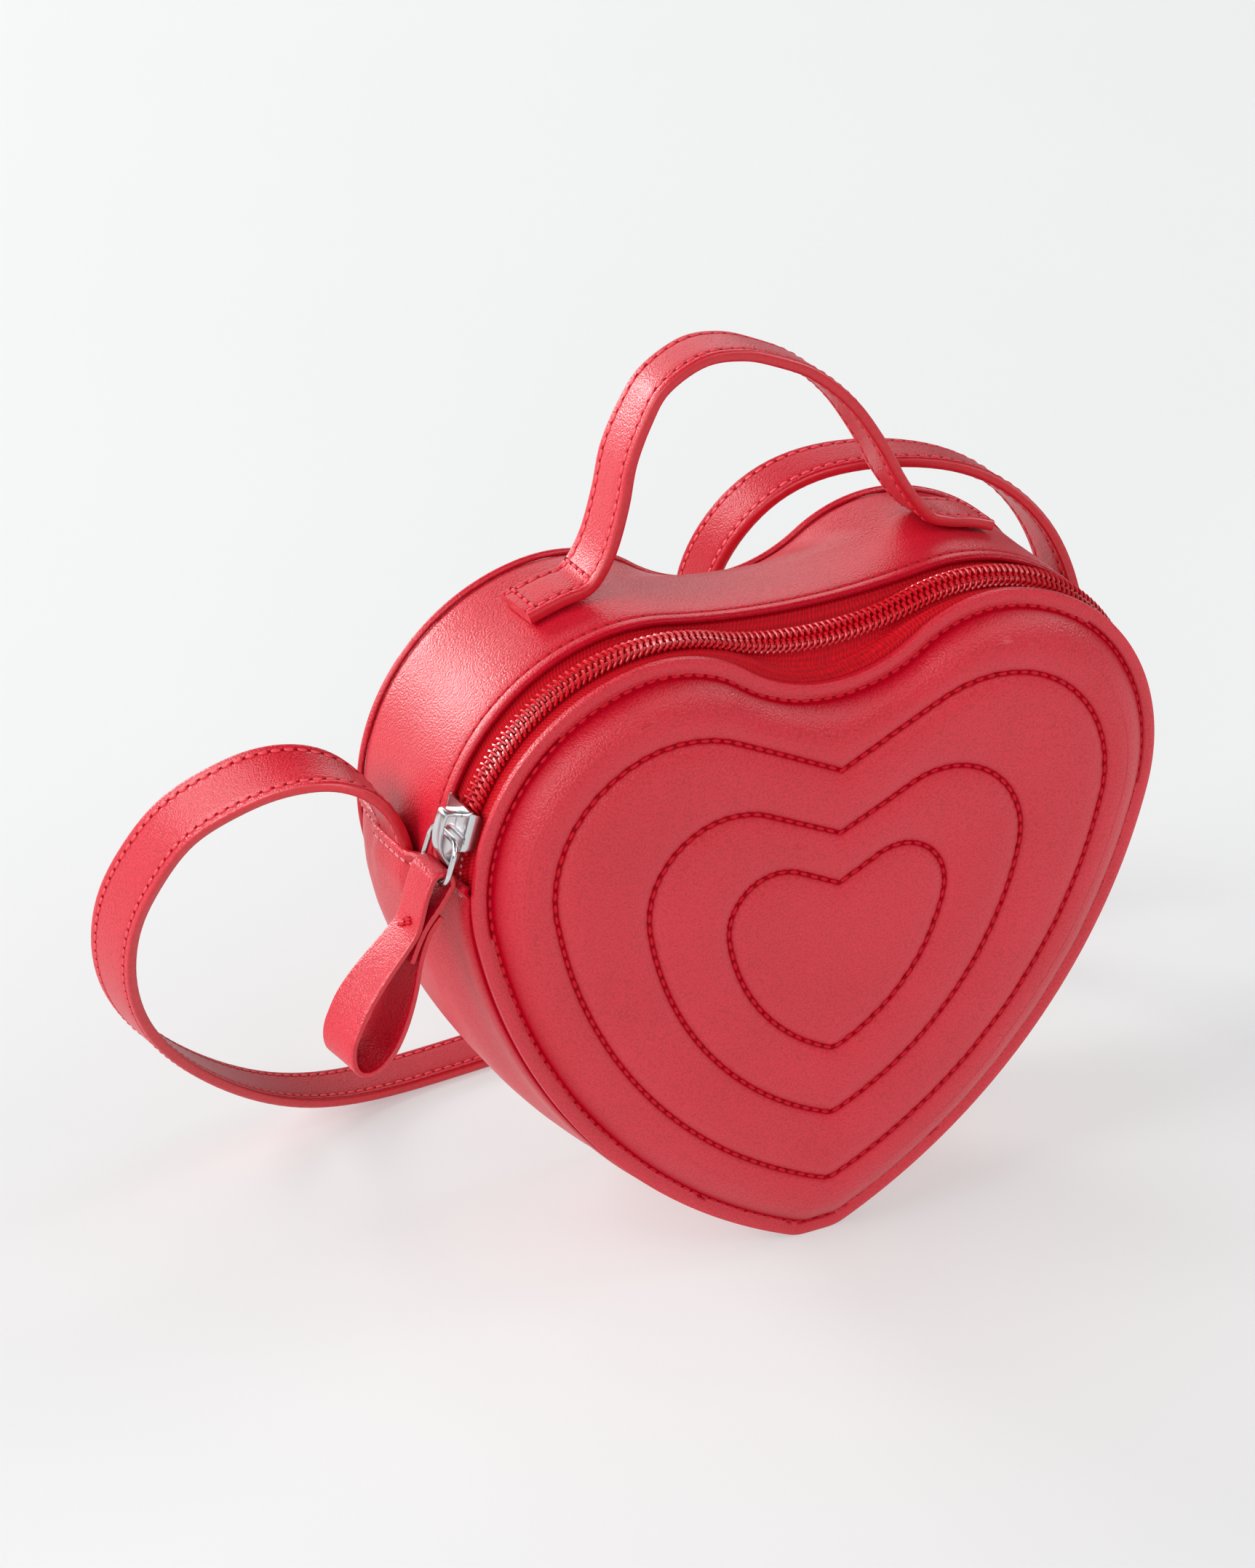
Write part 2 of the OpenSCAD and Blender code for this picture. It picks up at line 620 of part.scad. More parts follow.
// Pull: one strip from its middle layer over the ring, down the front, round the loop
// and up the back, as shares of its length (down) with its sideways places beside them
fold_r = wire_d / 2 + 4 * run_gap + pull_t / 2;
layer = pull_t + seam_gap / 6;
pull_route = concat(
    [[-layer / 2, 0.4 * pull_l], [-layer / 2, 0.24 * pull_l], [-0.8 * fold_r, 0.1 * pull_l]],
    [for (a = [180:-20:0]) fold_r * [cos(a), -sin(a)]],
    [[0.8 * fold_r, 0.1 * pull_l], [layer / 2, 0.24 * pull_l], [layer, 0.34 * pull_l]],
    [[2.6 * layer, 0.52 * pull_l], [3.5 * layer, 0.68 * pull_l]],
    [for (a = [0:20:180]) [3.4 * layer * cos(a), 0.8 * pull_l + 0.18 * pull_l * sin(a)]],
    [[-3.3 * layer, 0.68 * pull_l], [-2.7 * layer, 0.52 * pull_l]],
    [[-1.9 * layer, 0.38 * pull_l], [-1.6 * layer, 0.24 * pull_l], [-2.3 * layer, 0.15 * pull_l]]);
function side_of(p, i, w) = let(n = len(p) - 1,
    t = unit(p[min(i + 1, n)] - p[max(i - 1, 0)])) p[i] + w * [-t[1], t[0]];
function strip(p, t) = concat([for (i = [0:len(p) - 1]) side_of(p, i, t / 2)],
    [for (i = [len(p) - 1:-1:0]) side_of(p, i, -t / 2)]);

module zip_pull() {
    color(red) at_pivot() translate([0, 0, -ring_h])
        rotate([0, pull_a - ring_a, 0])
            slab([for (p = strip(pull_route, pull_t)) [-p[0], -p[1]]], -pull_w / 2, pull_w / 2);
}

front_panel_lower();
front_panel_upper();
front_pad_lower();
front_pad_upper();
front_lining_lower();
front_lining_upper();
zip_tape_front();
zip_tape_front_ends();
zip_tape_back();
zip_coil_front();
zip_coil_front_ends();
zip_coil_back();
gusset_upper();
gusset_lower();
gusset_lining_upper();
gusset_lining_lower();
back_panel();
back_board();
back_lining();
back_welt();
handle_face();
handle_backing();
strap_face();
strap_backing();
zip_slider();
pull_ring();
zip_pull();
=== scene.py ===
# %% [markdown]
# # Dressing a heart shaped purse
# The solids of the purse come from the imported model, in metres, with X to the right, Y to the back and Z
# up. Each cell below makes one piece or one finish of the real purse, and most pieces are then tied to the
# body that they move with; the front's pieces are tied to none.

# %% Load the frame
import bmesh
import bpy
from math import acos, asin, atan2, cos, degrees, exp, pi, radians, sin, sqrt
from mathutils import Matrix, Vector, kdtree, noise
from mathutils.bvhtree import BVHTree


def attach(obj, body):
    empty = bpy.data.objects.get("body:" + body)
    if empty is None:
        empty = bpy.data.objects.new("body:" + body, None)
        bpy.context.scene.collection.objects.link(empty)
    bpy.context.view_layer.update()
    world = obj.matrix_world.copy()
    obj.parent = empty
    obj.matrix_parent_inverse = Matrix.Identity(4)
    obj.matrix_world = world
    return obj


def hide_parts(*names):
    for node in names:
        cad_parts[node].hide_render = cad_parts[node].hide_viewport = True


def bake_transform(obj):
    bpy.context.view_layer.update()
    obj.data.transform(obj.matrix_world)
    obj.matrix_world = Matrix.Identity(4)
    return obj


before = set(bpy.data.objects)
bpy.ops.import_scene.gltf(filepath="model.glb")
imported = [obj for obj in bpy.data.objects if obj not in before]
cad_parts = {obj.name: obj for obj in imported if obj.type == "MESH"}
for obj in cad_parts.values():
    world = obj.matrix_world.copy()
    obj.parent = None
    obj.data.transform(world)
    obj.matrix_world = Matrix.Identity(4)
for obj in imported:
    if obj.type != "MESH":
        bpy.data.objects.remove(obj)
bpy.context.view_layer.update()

MM = 0.001

# %% [markdown]
# ## The camera
# The picture was taken from the front, a little to the left and above, with a long lens. A
# Track To constraint could aim the camera, but it leaves the tilt open. A camera's matrix
# holds its right, up and backward directions as columns, so they are written down here.

# %% Camera
EYE_PLACE = Vector((-0.3820, -0.6699, 0.4945))
RIGHT = Vector((0.890, -0.456, 0.004))
UP = Vector((0.201, 0.400, 0.894))
AHEAD = Vector((0.409, 0.795, -0.448))
LENS, SENSOR = 83.49, 36
eye = bpy.data.cameras.new("eye")
eye.lens, eye.sensor_width, eye.sensor_height, eye.sensor_fit = LENS, SENSOR, SENSOR, "AUTO"
eye.clip_start, eye.clip_end = 0.05, 30
camera = bpy.data.objects.new("eye", eye)
bpy.context.scene.collection.objects.link(camera)
turn = Matrix((RIGHT.normalized(), UP.normalized(), -AHEAD.normalized())).transposed()
camera.matrix_world = Matrix.Translation(EYE_PLACE) @ turn.to_4x4()
bpy.context.scene.camera = camera
print("camera at", tuple(round(c, 3) for c in camera.matrix_world.translation))

# %% [markdown]
# ## Finishes
# A material is a small network of nodes. A part of it that several finishes share, such as
# the pressed grain of the leather, goes into a node group: it is built once and used again
# with other values. Groups hand out heights and masks, and the shader stays outside.

# %% A helper that builds node groups and materials
def node(tree, kind, values=(), **settings):
    """Adds a node; a value that is another node's socket is linked, any other is set."""
    made = tree.nodes.new(kind)
    for name, value in settings.items():
        setattr(made, name, value)
    for name, value in dict(values).items():
        if isinstance(value, bpy.types.NodeSocket):
            tree.links.new(value, made.inputs[name])
        else:
            made.inputs[name].default_value = value
    return made


def group(name, inputs, outputs):
    tree = bpy.data.node_groups.new(name, "ShaderNodeTree")
    for label, kind, value in inputs:
        made = tree.interface.new_socket(label, in_out="INPUT", socket_type=kind)
        if value is not None:
            made.default_value = value
    for label in outputs:
        tree.interface.new_socket(label, in_out="OUTPUT", socket_type="NodeSocketFloat")
    return tree, tree.nodes.new("NodeGroupInput").outputs, tree.nodes.new("NodeGroupOutput").inputs


def math(tree, what, a, b=0.5, c=0.5, clamp=False):
    values = {0: a, 1: b, 2: c}
    return node(tree, "ShaderNodeMath", values, operation=what, use_clamp=clamp).outputs[0]


# %% [markdown]
# Pressed leather is covered with tiny pebbles, each about half a millimetre wide. An image
# of leather would show a join at every seam, so the grain is worked out from each point's
# place: a Voronoi pattern gives the pebbles, a noise makes their tops uneven, and a slow
# noise varies the tone.

# %% The grain group
UNEVEN = 0.22
MIDDLE_TONE, SLOW_TONE, PEBBLE_TONE = 0.38, 0.25, -0.6
tree, give, take = group("pressed_grain", [("Vector", "NodeSocketVector", None),
    ("Pebbles", "NodeSocketFloat", 1500.0)], ["Height", "Tone"])
sway = node(tree, "ShaderNodeTexNoise", {"Vector": give["Vector"], "Scale": 900.0, "Detail": 3.0})
pebble = node(tree, "ShaderNodeTexVoronoi", {"Vector": give["Vector"], "Scale": give["Pebbles"],
    "Smoothness": 0.6}, feature="SMOOTH_F1").outputs["Distance"]
cloud = node(tree, "ShaderNodeTexNoise", {"Vector": give["Vector"], "Scale": 38.0, "Detail": 4.0})
uneven = math(tree, "MULTIPLY", sway.outputs[0], UNEVEN)
tree.links.new(math(tree, "SUBTRACT", uneven, pebble), take["Height"])
slow = math(tree, "MULTIPLY_ADD", cloud.outputs[0], SLOW_TONE, MIDDLE_TONE)
tree.links.new(math(tree, "ADD", slow, math(tree, "MULTIPLY", pebble, PEBBLE_TONE), clamp=True), take["Tone"])
grain = tree
print("group", grain.name, len(grain.nodes), "nodes")

# %% [markdown]
# The zip's tape is woven in a herringbone, and the lining in a plain weave. Thousands of
# real threads would be far too heavy, and a group can draw both cloths: rows of slanted
# threads, as a wave across the cloth whose lean swaps from one stripe to the next.

# %% The weave group
ONE_TURN, SLANT = 6.283, 9.0
LONG_SHARE, CROSS_SHARE = 0.35, 0.15
tree, give, take = group("slanted_weave", [("Vector", "NodeSocketVector", None),
    ("Threads", "NodeSocketFloat", 1200.0), ("Stripe", "NodeSocketFloat", 400.0)], ["Height", "Thread"])
part = node(tree, "ShaderNodeSeparateXYZ", {0: give["Vector"]})
warp, weft = (math(tree, "MULTIPLY", math(tree, "MULTIPLY", part.outputs[i], give["Threads"]), ONE_TURN)
    for i in (0, 1))
stripe = math(tree, "PINGPONG", math(tree, "MULTIPLY", part.outputs[1], give["Stripe"]), 1.0)
slanted = math(tree, "SINE", math(tree, "ADD", warp, math(tree, "MULTIPLY", stripe, SLANT)))
long_part = math(tree, "MULTIPLY", slanted, LONG_SHARE)
thread = math(tree, "ADD", long_part, math(tree, "MULTIPLY", math(tree, "SINE", weft), CROSS_SHARE))
tree.links.new(thread, take["Height"])
tree.links.new(math(tree, "ADD", thread, 0.5, clamp=True), take["Thread"])
weave = tree
print("group", weave.name, len(weave.nodes), "nodes")

# %% [markdown]
# The leather is given a painted dark red shade in its folds and is lighter where the grain stands up. Most
# leather pieces carry an attribute named painted_shade, from 0 to 1, that is high in the stitched valleys and
# on faces that lie in shade. It comes straight from the shape of each piece. Where it is high, the colour is
# darkened as painted shade, and the gloss goes out as a painted loss of reflection, as a tight fold mirrors
# only itself. An exported model keeps the colour and loses the change of gloss.

# %% Leather
GLOSS, SHADE_GLOSS_DROP, TONE_ROUGH = 0.7, -1.6, -0.1


def leather(name, deep, mid, light, rough, pebbles, relief=0.00009, strength=0.5):
    made = bpy.data.materials.new(name)
    made.use_nodes = True
    tree = made.node_tree
    shader = tree.nodes["Principled BSDF"]
    place = node(tree, "ShaderNodeTexCoord").outputs["Object"]
    skin = node(tree, "ShaderNodeGroup", node_tree=grain)
    tree.links.new(place, skin.inputs["Vector"])
    skin.inputs["Pebbles"].default_value = pebbles
    ramp = node(tree, "ShaderNodeValToRGB", {0: skin.outputs["Tone"]})
    for element, position, colour in zip(ramp.color_ramp.elements, (0.0, 0.5), (mid, light)):
        element.position, element.color = position, (*colour, 1)
    # The painted_shade attribute darkens the colour towards deep, as painted shade, and lowers the gloss.
    painted_shade = node(tree, "ShaderNodeAttribute", attribute_name="painted_shade").outputs["Fac"]
    tint = node(tree, "ShaderNodeMix", {"Factor": painted_shade, 6: ramp.outputs[0], 7: (*deep, 1)},
        data_type="RGBA")
    tree.links.new(tint.outputs[2], shader.inputs["Base Color"])
    roughness = math(tree, "ADD", math(tree, "MULTIPLY", skin.outputs["Tone"], TONE_ROUGH), rough)
    tree.links.new(roughness, shader.inputs["Roughness"])
    bump = node(tree, "ShaderNodeBump", {"Strength": strength, "Distance": relief,
        "Height": skin.outputs["Height"]})
    tree.links.new(bump.outputs[0], shader.inputs["Normal"])
    unshaded_share = math(tree, "MULTIPLY_ADD", painted_shade, SHADE_GLOSS_DROP, 1.0, clamp=True)
    tree.links.new(math(tree, "MULTIPLY", unshaded_share, GLOSS), shader.inputs["Specular IOR Level"])
    return made


# deep is the colour of the painted shade in folds and on shaded faces.
red_leather = leather("pressed_leather", deep=(0.28, 0.0, 0.006), mid=(0.44, 0.0, 0.008),
    light=(0.67, 0.008, 0.034), rough=0.4, pebbles=2100.0, relief=0.00014, strength=0.7)
painted_edge = leather("painted_edge", deep=(0.2, 0.0, 0.004), mid=(0.46, 0.001, 0.01),
    light=(0.56, 0.004, 0.016), rough=0.4, pebbles=900.0)
print("leathers", red_leather.name, painted_edge.name)

# %% [markdown]
# Thread, tape, lining, coil, board and metal need fewer parts: a colour that varies, a
# roughness that varies with it, and a relief of the right size. One function makes them all,
# so that a new finish is one line of values.

# %% Other finishes
ROUGH_SPREAD = 0.14


def finish(name, low, high, rough, pattern, scale, relief=0.0, metal=0.0, source=None, **fixed):
    made = bpy.data.materials.new(name)
    made.use_nodes = True
    tree = made.node_tree
    shader = tree.nodes["Principled BSDF"]
    if source:
        place = node(tree, "ShaderNodeAttribute", attribute_name=source).outputs["Vector"]
    else:
        place = node(tree, "ShaderNodeTexCoord").outputs["Object"]
    if pattern == "weave":
        cloth = node(tree, "ShaderNodeGroup", node_tree=weave)
        tree.links.new(place, cloth.inputs["Vector"])
        cloth.inputs["Threads"].default_value, cloth.inputs["Stripe"].default_value = scale
        mask, height = cloth.outputs["Thread"], cloth.outputs["Height"]
    else:
        spots = node(tree, "ShaderNodeTexNoise", {"Vector": place, "Scale": scale, "Detail": 4.0})
        mask = height = spots.outputs[0]
    tint = node(tree, "ShaderNodeMix", {"Factor": mask, 6: (*low, 1), 7: (*high, 1)}, data_type="RGBA")
    tree.links.new(tint.outputs[2], shader.inputs["Base Color"])
    spread = math(tree, "MULTIPLY", mask, ROUGH_SPREAD)
    roughness = math(tree, "ADD", spread, rough - ROUGH_SPREAD / 2)
    tree.links.new(roughness, shader.inputs["Roughness"])
    shader.inputs["Metallic"].default_value = metal
    if relief:
        bump = node(tree, "ShaderNodeBump", {"Strength": 0.6, "Distance": relief, "Height": height})
        tree.links.new(bump.outputs[0], shader.inputs["Normal"])
    for label, value in fixed.items():
        shader.inputs[label.replace("_", " ")].default_value = value
    return made


thread_red = finish("thread_red", (0.42, 0.0, 0.006), (0.6, 0.001, 0.014), 0.6, "noise", 2600.0,
    0.00006, Specular_IOR_Level=0.25)
# The straps' stitches are a lighter copy of the red thread: the extra lightness is painted highlight.
highlit_thread = finish("highlit_thread", (0.56, 0.012, 0.028), (0.78, 0.07, 0.09), 0.45, "noise",
    2600.0, 0.00006)
pale_thread = finish("pale_thread", (0.6, 0.1, 0.12), (0.8, 0.3, 0.32), 0.5, "noise", 2600.0, 0.00005)
# The holes' dark red is painted shade: the hole itself is only a recess in the leather.
painted_hole_shade = finish("painted_hole_shade", (0.24, 0.0, 0.004), (0.32, 0.0, 0.007), 0.9, "noise", 900.0,
    Specular_IOR_Level=0.1)
herringbone = finish("herringbone_tape", (0.3, 0.0, 0.004), (0.66, 0.0, 0.01), 0.7, "weave",
    (1100.0, 420.0), 0.0002, source="weave", Specular_IOR_Level=0.15)
lining_cloth = finish("lining_cloth", (0.14, 0.004, 0.01), (0.3, 0.01, 0.02), 0.85, "weave",
    (1800.0, 1800.0), 0.00008)
coil_nylon = finish("coil_nylon", (0.48, 0.0, 0.006), (0.62, 0.001, 0.012), 0.3, "noise", 700.0,
    0.00002, Coat_Weight=0.15, Coat_Roughness=0.2)
grey_board = finish("grey_board", (0.42, 0.39, 0.34), (0.58, 0.54, 0.48), 0.9, "noise", 420.0, 0.00005)
nickel = finish("nickel", (0.6, 0.6, 0.62), (0.68, 0.68, 0.69), 0.22, "noise", 300.0, metal=1.0)
print("materials", sorted(m.name for m in bpy.data.materials)[:20])

# %% [markdown]
# ## Outlines
# Every outline of the purse is a heart made of arcs that touch each other: tip, flank, lobe,
# inner shoulder and cleft. The quilted hearts have fewer: tip, flank, lobe and a straight
# run to the cleft. A Bezier curve could be bent to look alike, but an offset of an arc is
# again an arc, so hearts of arcs can be drawn inside each other at an even distance.

# %% Heart outlines
LOBE, LOBE_R, LOBE_END = Vector((40.3, 111.8)), 49.8, 80
TIP, TIP_R, FLANK_R = Vector((3.0, 12.0)), 12.0, 142.0
CLEFT_Z, SHOULDER_R = 147.7, 36
BACK_SIZE, SEAM_Z = 1.025, 110.0


def meet(a, ra, b, rb):
    """Where two circles cross, on the right of the way from a to b."""
    d = (b - a).length
    u, h = (b - a) / d, (ra * ra - rb * rb + d * d) / (2 * d)
    return a + h * u + sqrt(ra * ra - h * h) * Vector((u.y, -u.x))


def bearing(a, b):
    """The direction from a to b, in degrees."""
    return degrees(atan2(b.y - a.y, b.x - a.x))


FLANK = meet(LOBE, FLANK_R - LOBE_R, TIP, FLANK_R - TIP_R)


def heart_arcs(size, out, cleft_z, shoulder_r, part="all", fine=1):
    """The right half as arcs: middle, radius, first and last bearing, steps."""
    lobe, tip, flank = size * LOBE, size * TIP, size * FLANK
    rl, rs, rf, rt = (size * r + out for r in (LOBE_R, shoulder_r, FLANK_R, TIP_R))
    lobe_end = Vector((cos(radians(LOBE_END)), sin(radians(LOBE_END))))
    shoulder = lobe + size * (LOBE_R - shoulder_r) * lobe_end
    h = cleft_z - shoulder.y
    rc = (h * h - rs * rs + shoulder.x ** 2) / (2 * (rs - h))
    cleft = Vector((0, cleft_z + rc))
    a_tip, a_lobe, a_end = bearing(flank, tip), bearing(flank, lobe), bearing(shoulder, cleft)
    a_seam = degrees(asin((SEAM_Z - lobe.y) / rl))
    under = [(tip, rt, -90, a_tip, 5 * fine), (flank, rf, a_tip, a_lobe, 45 * fine),
        (lobe, rl, a_lobe, a_seam, 5 * fine)]
    over = [(lobe, rl, a_seam, LOBE_END, 35 * fine), (shoulder, rs, LOBE_END, a_end, 15 * fine),
        (cleft, rc, a_end + 180, 270, 15 * fine)]
    return {"under": under, "over": over, "all": under + over}[part]


# %% [markdown]
# Each quilted heart is given by shares of the purse's height: the lobe's place and radius,
# the flank's radius, the tip's height and the cleft's.

# %% Quilted hearts
HEART_H = 161.6
QUILT_TIP_R = 1.25
QUILT_SHARES = ((0.251, 0.687, 0.198, 0.72, 0.114, 0.789), (0.172, 0.623, 0.133, 0.49, 0.229, 0.691),
    (0.099, 0.571, 0.079, 0.29, 0.34, 0.611))


def quilt_arcs(which, out, fine=1):
    x, z, r, rf, tip_z, cleft_z = [HEART_H * share for share in QUILT_SHARES[which]]
    lobe, r, rf, rt = Vector((x, z)), r + out, rf + out, QUILT_TIP_R
    tip, cleft = Vector((rt / 2, tip_z - out + rt)), Vector((0, cleft_z + out))
    flank = meet(lobe, rf - r, tip, rf - rt)
    a_tip, a_lobe = bearing(flank, tip), bearing(flank, lobe)
    a_end = bearing(lobe, cleft) - degrees(acos(r / (cleft - lobe).length))
    return [(tip, rt, -90, a_tip, 5 * fine), (flank, rf, a_tip, a_lobe, 45 * fine),
        (lobe, r, a_lobe, a_end, 60 * fine), (cleft, 0, 0, 0, 10 * fine)]


# %% [markdown]
# Spinning one vertex about the middle of each arc in turn draws half of a heart, and a
# mirror gives the other half. The points are then read off in order along the edges.

# %% Draw an outline
def points(arcs, y):
    """The outline's points in order, from the tip or the right seam round to the left."""
    bm = bmesh.new()
    c, r, a, _, _ = arcs[0]
    last = bm.verts.new(Vector((c.x + r * cos(radians(a)), y, c.y + r * sin(radians(a)))) * MM)
    if a == -90:
        last.co.x = 0
        last = bmesh.ops.extrude_vert_indiv(bm, verts=[last])["verts"][0]
        last.co.x = c.x * MM
    for c, r, a0, a1, steps in arcs:
        start = last.co.copy()
        if r == 0:
            for i in range(steps):
                last = bmesh.ops.extrude_vert_indiv(bm, verts=[last])["verts"][0]
                last.co = start.lerp(Vector((c.x, y, c.y)) * MM, (i + 1) / steps)
        else:
            spun = bmesh.ops.spin(bm, geom=[last], cent=Vector((c.x, y, c.y)) * MM, axis=(0, -1, 0),
                angle=radians(a1 - a0), steps=steps)
            last = [g for g in spun["geom_last"] if isinstance(g, bmesh.types.BMVert)][0]
    bmesh.ops.mirror(bm, geom=bm.verts[:] + bm.edges[:], merge_dist=1e-6, axis="X")
    ends = [v for v in bm.verts if len(v.link_edges) == 1]
    if ends:
        here = max(ends, key=lambda v: v.co.x)
    else:
        here = min(bm.verts, key=lambda v: (abs(v.co.x) > 1e-6, v.co.z))
    row, seen = [here.co.copy()], {here}
    while True:
        beside = [e.other_vert(here) for e in here.link_edges if e.other_vert(here) not in seen]
        if not beside:
            break
        here = max(beside, key=lambda v: v.co.x)
        seen.add(here)
        row.append(here.co.copy())
    if not ends:
        row.append(row[0].copy())
    bm.free()
    return row


def row_length(row):
    return sum((b - a).length for a, b in zip(row, row[1:]))


FRONT_Y = -29
outline = points(heart_arcs(1, 0, CLEFT_Z, SHOULDER_R, fine=2), FRONT_Y)
print("front outline:", len(outline), "points,", round(row_length(outline) / MM), "mm round")

# %% [markdown]
# Most of the leather is a band or a panel that follows such outlines. Its first row is laid
# as edges, and each next row is extruded from the one before and moved to its own points.
# Rows that shrink to a middle point close a panel.

# %% Skin over rows of points
def new_parts(extruded):
    """The vertices that an extrusion made, and the edges between them."""
    verts = {g for g in extruded if isinstance(g, bmesh.types.BMVert)}
    edges = [g for g in extruded if isinstance(g, bmesh.types.BMEdge)]
    return verts, [e for e in edges if e.verts[0] in verts and e.verts[1] in verts]


def loft(rows):
    """Extrudes the first row from row to row; a row that ends where it starts is closed."""
    bm = bmesh.new()
    closed = (rows[0][0] - rows[0][-1]).length < 1e-7
    chain = [bm.verts.new(p) for p in (rows[0][:-1] if closed else rows[0])]
    followers = chain[1:] + chain[:1] if closed else chain[1:]
    first = edges = [bm.edges.new(pair) for pair in zip(chain, followers)]
    for row in rows[1:]:
        made, edges = new_parts(bmesh.ops.extrude_edge_only(bm, edges=edges)["geom"])
        chain = [next(e.other_vert(v) for e in v.link_edges if e.other_vert(v) in made) for v in chain]
        for v, p in zip(chain, row):
            v.co = p
    return bm, first, edges


def shrunk(row, middle, shares):
    return [[middle.lerp(p, share) for p in row] for share in shares]


# %% [markdown]
# ## Making a piece
# A finished bmesh becomes an object in one place: its doubles are merged, its faces point
# outwards, edges sharper than forty degrees stay sharp, and it is tied to its body, its
# material slot and the solids that it stands for. Modifiers could thicken it later, but a
# mesh that is finished here shows the same in every view and in the export.

# %% From bmesh to a piece
SHARP = radians(40)


def piece(name, bm, body, materials, replaces=(), thick=0.0, merge=1e-6):
    bmesh.ops.remove_doubles(bm, verts=bm.verts, dist=merge)
    bmesh.ops.recalc_face_normals(bm, faces=bm.faces)
    if thick:
        bmesh.ops.solidify(bm, geom=bm.faces[:], thickness=thick)
    bm.normal_update()
    for f in bm.faces:
        f.smooth = True
    for e in bm.edges:
        e.smooth = len(e.link_faces) != 2 or e.calc_face_angle(0) < SHARP
    mesh = bpy.data.meshes.new(name)
    bm.to_mesh(mesh)
    bm.free()
    made = bpy.data.objects.new(name, mesh)
    bpy.context.scene.collection.objects.link(made)
    for m in materials:
        mesh.materials.append(m)
    if replaces:
        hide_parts(*replaces)
    if body:
        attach(made, body)
    print(name, len(mesh.polygons), "faces")
    return made


def tree_of(obj):
    """A search tree of a finished piece's faces, to set stitches on it."""
    bm = bmesh.new()
    bm.from_mesh(obj.data)
    found = BVHTree.FromBMesh(bm)
    bm.free()
    return found


# %% [markdown]
# ## The padded front
# The front is one skin over foam: a flat rim that is stitched down, a step up onto the pad,
# and three hearts quilted into it. A cloth simulation could settle it over a pad, but the
# photograph fixes where each line runs, so the hearts and the offsets beside them are laid
# out flat first, and then each point is moved forward by its distance from the lines.

# %% Lay out the front
STITCH, FINE_STEP = 3.0, 0.4


def near(row):
    """A search tree that finds the row's point nearest to any place."""
    found = kdtree.KDTree(len(row))
    for i, p in enumerate(row):
        found.insert(p, i)
    found.balance()
    return found


def dense(arcs):
    """An outline on the front with a point at every fine step."""
    row = points(arcs, FRONT_Y)
    out = []
    for a, b in zip(row, row[1:]):
        n = max(1, round((b - a).length / (FINE_STEP * MM)))
        out += [a.lerp(b, i / n) for i in range(n)]
    return out + [row[-1]]


def panel_arcs(out, fine=1):
    return heart_arcs(1, out, CLEFT_Z + out, SHOULDER_R, fine=fine)


edge_row = dense(panel_arcs(0, 2))
quilt_rows = [dense(quilt_arcs(which, 0, 2)) for which in range(3)]
edge_near, quilt_near = near(edge_row), [near(row) for row in quilt_rows]
turned_in = ((-7, -27.6), (0, -27.6), (0, -28.4))
rim_offsets = [-0.12, -0.5, -1.6, -2.8, -3.6, -4.0, -4.4, -5.0, -5.7, -6.6, -7.8, -9.2, -11]
quilt_offsets = [[7.5, 5.5, 4, 2.8, 1.8, 1, 0.4, 0, -0.4, -1, -1.8, -2.8, -4, -6],
    [6.5, 5, 4, 2.8, 1.8, 1, 0.4, 0, -0.4, -1, -1.8, -2.8, -4, -6],
    [6, 4, 2.8, 1.8, 1, 0.4, 0, -0.4, -1, -1.8, -2.8, -4]]
rows = [points(panel_arcs(out, 2), y) for out, y in turned_in]
rows += [points(panel_arcs(out, 2), FRONT_Y) for out in rim_offsets]
rows += [points(quilt_arcs(which, out, 2), FRONT_Y) for which in range(3) for out in quilt_offsets[which]]
rows += shrunk(rows[-1], Vector((0, FRONT_Y, 80)) * MM, (0.8, 0.6, 0.4, 0.2, 0.05))
bm, _, last = loft(rows)
bmesh.ops.edgeloop_fill(bm, edges=last)
print("front laid out with", len(bm.verts), "points on", len(rows), "hearts")

# %% [markdown]
# The height above the rim is a soft step at the rim's stitches, less a valley at every
# quilting line, with small puckers between one stitch and the next. A slow noise keeps the
# pad from looking like a machined part.

# %% Raise the front
RIM, RIM_ROLL, RIM_BULGE, RIM_SINK = 3.9, 3.6, 0.42, 0.3
PAD, PAD_REACH, PAD_TOP = 6.5, 4.6, 6.9
VALLEY, VALLEY_REACH, VALLEY_END, PUCKER = 1.5, 2.4, 16, 0.13
WAVES = ((0.22, 55), (0.1, 160))


def pad_height(p):
    """The skin's height over the flat, in millimetres, and how much painted shade its colour takes there."""
    edge = edge_near.find(Vector((p.x, edge_row[0].y, p.z)))[2] / MM
    if edge < RIM:
        sunk = edge > RIM_ROLL
        bulge = RIM_BULGE * sin(min(1, edge / RIM_ROLL) * pi) ** 0.7
        # Painted shade in the groove beyond the rim's roll.
        return bulge - (RIM_SINK if sunk else 0), 0.8 if sunk else 0.0
    x = edge - RIM
    h = PAD * (1 - exp(-x / PAD_REACH)) - 0.2 * exp(-x / 0.5)
    # Painted shade at the foot of the step onto the pad.
    shade = 0.9 * exp(-x / 1.8)
    for found in quilt_near:
        _, i, d = found.find(Vector((p.x, edge_row[0].y, p.z)))
        d /= MM
        if d < VALLEY_END:
            pucker = PUCKER * cos(2 * pi * i * FINE_STEP / STITCH) * exp(-d / 1.3)
            h -= VALLEY * exp(-sqrt(d * d + 0.12) / VALLEY_REACH) - pucker
            # Painted shade along each quilting valley.
            shade = max(shade, exp(-(d / 0.7) ** 2))
    h += sum(size * noise.noise(p * scale) for size, scale in WAVES)
    return min(h, PAD_TOP), shade


